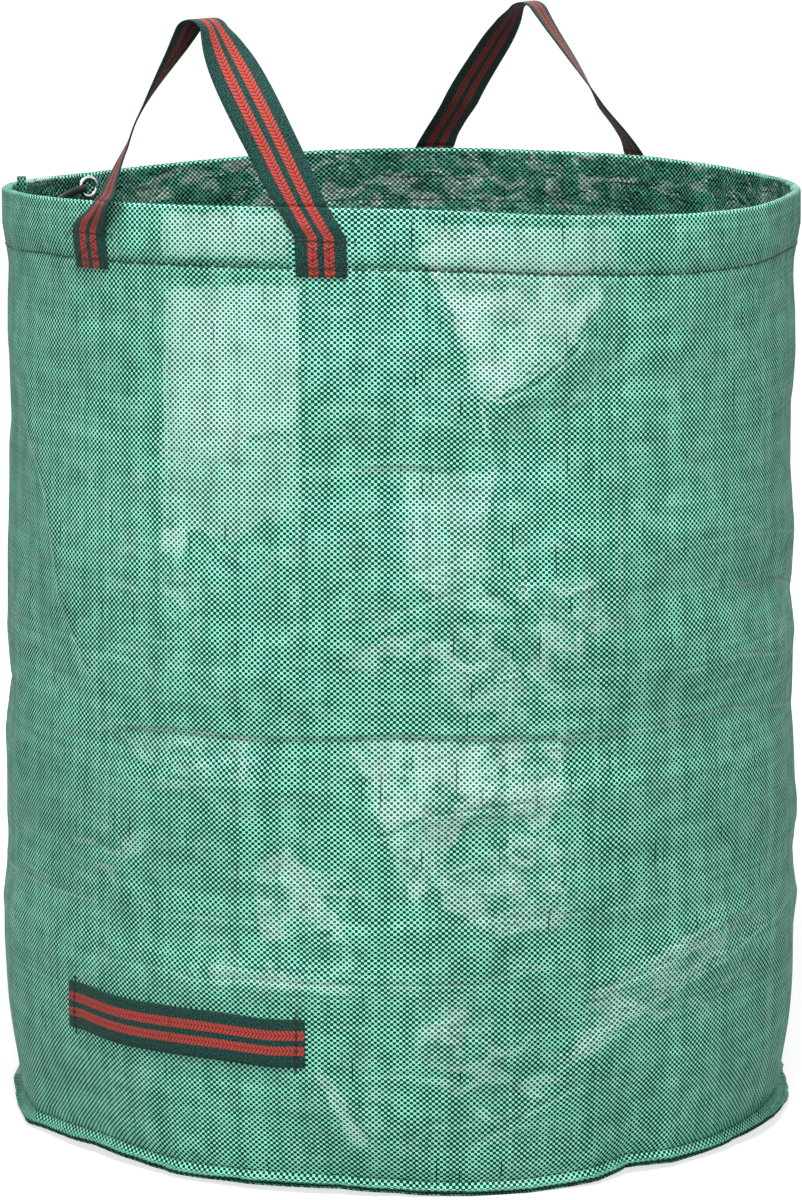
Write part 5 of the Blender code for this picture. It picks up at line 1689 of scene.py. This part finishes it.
def strap_rise(angle, width):
    """How far a handle's sewn end lifts a thread that crosses it, by angle."""
    half = arc_of(width / 2)
    rise = np.zeros(np.shape(angle))
    for handle in (0.0, REAR_ANGLE):
        for side in (-1, 1):
            off = np.abs(wrapped(angle - handle - side * HALF_ANGLE))
            rise = np.maximum(rise, ease((half + 0.25 - off) / 0.25))
    return rise * (SEWN_GAP + WEBBING)


class SACK_OT_stitching(bpy.types.Operator):
    """Sews the hem, the handles, the tipping handle and the seams"""

    bl_idname = "sack.stitching"
    bl_label = "Stitching"

    def execute(self, context):
        sizes = context.scene.sack_sizes
        self.radius, self.pitch, self.width = sizes.thread_radius, sizes.stitch, sizes.webbing_width
        self.yarn = [thread(context)]
        self.hem()
        for name, angle in (("front", 0.0), ("rear", REAR_ANGLE)):
            for side, sign in (("left", -1), ("right", 1)):
                self.box(f"{name}_box_stitch_{side}", f"{name}_handle_stitch_{side}", angle + sign * HALF_ANGLE)
        self.tip_bars()
        self.seams()
        return {"FINISHED"}

    def keep(self, strands, name, body, node):
        made = strands.object(name, self.yarn)
        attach(made, body)
        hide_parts(node)
        return made

    def hem(self):
        strands = Strands(self.radius)
        angle = np.linspace(-180, 180, 2200)
        z = HEM_LINE + 0.0012 * round_noise(angle, 24, 98)
        z = z + 0.0004 * round_noise(angle, 90, 99)
        path = on_cloth(angle, z, strap_rise(angle, self.width))
        strands.stitches(path, outward(angle), self.pitch, seed=6)
        inner = on_cloth(angle, z, -(2 * CLOTH + HEM_PINCHED))
        strands.stitches(inner, -outward(angle), self.pitch, seed=7)
        self.keep(strands, "hem_stitching", "rim", "hem_thread")

    def box(self, name, node, angle):
        """A bar and a cross through a handle's end, on both faces, with their loose tails."""
        strands = Strands(self.radius)
        half = arc_of(0.0165)
        beyond = arc_of(self.width / 2 + 0.006)
        lines = (
            ((-beyond, UPPER_LINE), (beyond + 0.35, UPPER_LINE - 0.0004)),
            ((half, UPPER_LINE - 0.0012), (-half, UPPER_LINE - 0.0004)),
            ((-half, UPPER_LINE), (half, HEM_LINE + 0.0008)),
            ((half, HEM_LINE + 0.0012), (-half, HEM_LINE - 0.0004)),
            ((-half, HEM_LINE + 0.0006), (half, UPPER_LINE - 0.0006)),
        )
        for i, ((a0, z0), (a1, z1)) in enumerate(lines):
            share = np.linspace(0, 1, 60)
            a, z = angle + a0 + (a1 - a0) * share, z0 + (z1 - z0) * share
            a = a + 0.05 * np.sin(share * 9 + i)
            out = strap_rise(a, self.width)
            strands.stitches(on_cloth(a, z, out), outward(a), BOX_STITCH, 0.0009, seed=20 + i)
            open_hem = 0.0024 * ease((z - HEM_LINE - 0.005) / 0.012)
            inner = on_cloth(a, z, -(2 * CLOTH + HEM_PINCHED + open_hem + hem_slack(a, z)))
            strands.stitches(inner, -outward(a), BOX_STITCH, 0.0009, seed=30 + i)
        rng = np.random.RandomState(int(abs(angle) * 10))
        for a0, z0 in ((-beyond, UPPER_LINE), (beyond, UPPER_LINE), (half, HEM_LINE), (-half * 0.4, HEM_LINE)):
            share = np.linspace(0, 1, 9)
            a = angle + a0 + share * rng.uniform(-0.9, 0.9) + 0.25 * np.sin(share * rng.uniform(3, 7))
            z = z0 - share * rng.uniform(0.004, 0.012)
            stand = strap_rise(a, self.width) + self.radius * 0.6 + 0.0010 * np.sin(share * 3)
            strands.add(on_cloth(a, z, stand), outward(a), self.radius * 0.55)
        self.keep(strands, name, "rim", node)

    def tip_bars(self):
        """Two upright bars of thread that hold the tipping handle's ends."""
        inset = arc_of(TIP_BAR_INSET)
        for side, sign in (("left", -1), ("right", 1)):
            strands = Strands(self.radius)
            at = TIP_ANGLE + sign * (TIP_HALF_ANGLE - inset)
            for shift in (-0.0006, 0.0006):
                z = np.linspace(TIP_HEIGHT - TIP_BAR / 2, TIP_HEIGHT + TIP_BAR / 2, 80)
                a = at + arc_of(shift) + 0.12 * np.sin(z * 60)
                over = ease((self.width / 2 + 0.0014 - np.abs(z - TIP_HEIGHT)) / 0.0012)
                path = on_cloth(a, z, over * (SEWN_GAP + WEBBING))
                strands.stitches(path, outward(a), BAR_STITCH, 0.0008, seed=40 + int(shift > 0))
            self.keep(strands, f"tip_handle_bar_{side}", "base", f"tip_handle_stitch_{side}")

    def seams(self):
        """The base seam's stitches in its groove, and the side seam's along its allowance."""
        strands = Strands(self.radius)
        angle = np.linspace(-180, 180, 1600)
        groove = on_cloth(angle, 0.0098 + 0.0006 * round_noise(angle, 50, 101), -BASE_PINCH)
        strands.stitches(groove, outward(angle), self.pitch, seed=50)
        self.keep(strands, "base_seam_stitching", "base", "base_seam_thread")
        strands = Strands(self.radius)
        z = np.linspace(0.014, HEM_LINE - 0.026, 400)
        for side in (-1, 1):
            a = np.full(z.shape, SEAM_ANGLE + side * arc_of(0.0009))
            path = on_bag(profile(z) + relief(SEAM_ANGLE, z) - 0.0040, a, z + lift(SEAM_ANGLE, z))
            out = np.stack([np.cos(np.radians(a)), np.sin(np.radians(a)), 0 * a], -1) * side
            strands.stitches(path, out, self.pitch, seed=52 + side)
        side_seam = self.keep(strands, "side_seam_stitching", "base", "side_seam_thread")
        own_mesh(side_seam)


# ------------------------------------------------------------------- the stage

CAMERA_TURN = 29.2
CAMERA_REACH = 3.956
CAMERA_HEIGHT = 1.098
CAMERA_PITCH = 9.61
CAMERA_LENS = 140.34
# Softboxes, as (name, angle, reach, height, (width, height of the box), watts)
LAMPS = (
    ("top", 26, 1.5, 2.8, (1.4, 0.9), 80),
    ("key", -20, 2.9, 0.98, (0.5, 1.2), 13),
    ("fill", 50, 2.9, 0.98, (0.5, 1.3), 17),
    ("back", CAMERA_TURN + 170, 3.4, 2.2, (2.0, 1.4), 26),
)
# What the world gives as light, where the camera sees it at 1
ROOM_LIGHT = 0.13
FLOOR_REACH = 40.0


class SACK_OT_stage(bpy.types.Operator):
    """Sets the camera, the floor and soft studio light"""

    bl_idname = "sack.stage"
    bl_label = "Stage"

    def execute(self, context):
        scene = context.scene
        scene.view_settings.view_transform = "Standard"
        turn = math.radians(CAMERA_TURN)
        camera = bpy.data.objects.new("camera", bpy.data.cameras.new("camera"))
        scene.collection.objects.link(camera)
        camera.data.lens = CAMERA_LENS
        camera.location = on_bag(CAMERA_REACH, CAMERA_TURN, CAMERA_HEIGHT)
        camera.rotation_euler = (math.pi / 2 - math.radians(CAMERA_PITCH), 0, turn)
        scene.camera = camera
        self.floor(scene)
        self.sky(scene)
        for lamp in LAMPS:
            self.lamp(scene, *lamp)
        return {"FINISHED"}

    def floor(self, scene):
        made, tree, shader = new_material("matt_white_floor")
        rays = add(tree, "LightPath", out=None)
        # The floor glows for the camera and in reflections, more so far from the sack, as a lit white sweep does
        reach = add(tree, "VectorMath LENGTH", add(tree, "TexCoord", out="Object"), out="Value")
        glow = add(tree, "MapRange", reach, 0.4, 2.6, 0.72, 0.96, **SMOOTH)
        seen = add(tree, "Math MULTIPLY", rays["Is Glossy Ray"], 0.5)
        seen = add(tree, "Math MAXIMUM", rays["Is Camera Ray"], seen)
        plug(
            shader, Base_Color=rgba(scene.sack_colours.backdrop), Roughness=0.9, Specular_IOR_Level=0.1,
            Emission_Color=(1, 1, 1, 1), Emission_Strength=add(tree, "Math MULTIPLY", seen, glow),
        )
        corners = [(x * FLOOR_REACH, y * FLOOR_REACH, 0) for x, y in ((-1, -1), (1, -1), (1, 1), (-1, 1))]
        floor = new_object("floor", corners, [(0, 1, 2, 3)], np.zeros((4, 2)), [made])
        floor.location.z = -0.0004

    def sky(self, scene):
        """White behind the sack for the camera and its reflections, and a dim room for its light."""
        world = bpy.data.worlds.new("studio")
        scene.world = world
        world.use_nodes = True
        tree = world.node_tree
        rays = add(tree, "LightPath", out=None)
        seen = add(tree, "Math MAXIMUM", rays["Is Camera Ray"], rays["Is Transmission Ray"])
        seen = add(tree, "Math MAXIMUM", seen, rays["Is Glossy Ray"])
        strength = add(tree, "Math MULTIPLY_ADD", seen, 1 - ROOM_LIGHT, ROOM_LIGHT)
        plug(tree.nodes["Background"], Color=(1, 1, 1, 1), Strength=strength)

    def lamp(self, scene, name, angle, reach, height, size, watts):
        """A softbox at a height that faces the sack's middle."""
        data = bpy.data.lights.new(name, "AREA")
        data.shape = "RECTANGLE"
        data.size, data.size_y = size
        data.energy = watts
        lamp = bpy.data.objects.new(name, data)
        scene.collection.objects.link(lamp)
        place = Vector(on_bag(reach, angle, height))
        lamp.location = place
        lamp.rotation_mode = "QUATERNION"
        lamp.rotation_quaternion = (Vector((0, 0, 0.5)) - place).to_track_quat("-Z", "Y")


# ------------------------------------------------------------------- the add-on

STEPS = ("stage", "wall", "base", "hem", "hoop", "handles", "tip_handle", "stitching")


class SACK_PT_panel(bpy.types.Panel):
    """Lists the steps that build the sack"""

    bl_idname = "SACK_PT_panel"
    bl_label = "Garden Sack"
    bl_space_type = "VIEW_3D"
    bl_region_type = "UI"
    bl_category = "Sack"

    def draw(self, context):
        for step in STEPS:
            self.layout.operator(f"sack.{step}")
        for group in (context.scene.sack_sizes, context.scene.sack_colours):
            box = self.layout.box()
            for name in group.bl_rna.properties.keys():
                if name not in ("rna_type", "name"):
                    box.prop(group, name)


CLASSES = (
    SackColours, SackSizes, SACK_OT_stage, SACK_OT_wall, SACK_OT_base, SACK_OT_hem, SACK_OT_hoop,
    SACK_OT_handles, SACK_OT_tip_handle, SACK_OT_stitching, SACK_PT_panel,
)


def register():
    for kind in CLASSES:
        bpy.utils.register_class(kind)
    bpy.types.Scene.sack_colours = PointerProperty(type=SackColours)
    bpy.types.Scene.sack_sizes = PointerProperty(type=SackSizes)


def unregister():
    del bpy.types.Scene.sack_sizes
    del bpy.types.Scene.sack_colours
    for kind in reversed(CLASSES):
        bpy.utils.unregister_class(kind)


def main():
    register()
    for step in STEPS:
        getattr(bpy.ops.sack, step)()


if __name__ == "__main__":
    main()
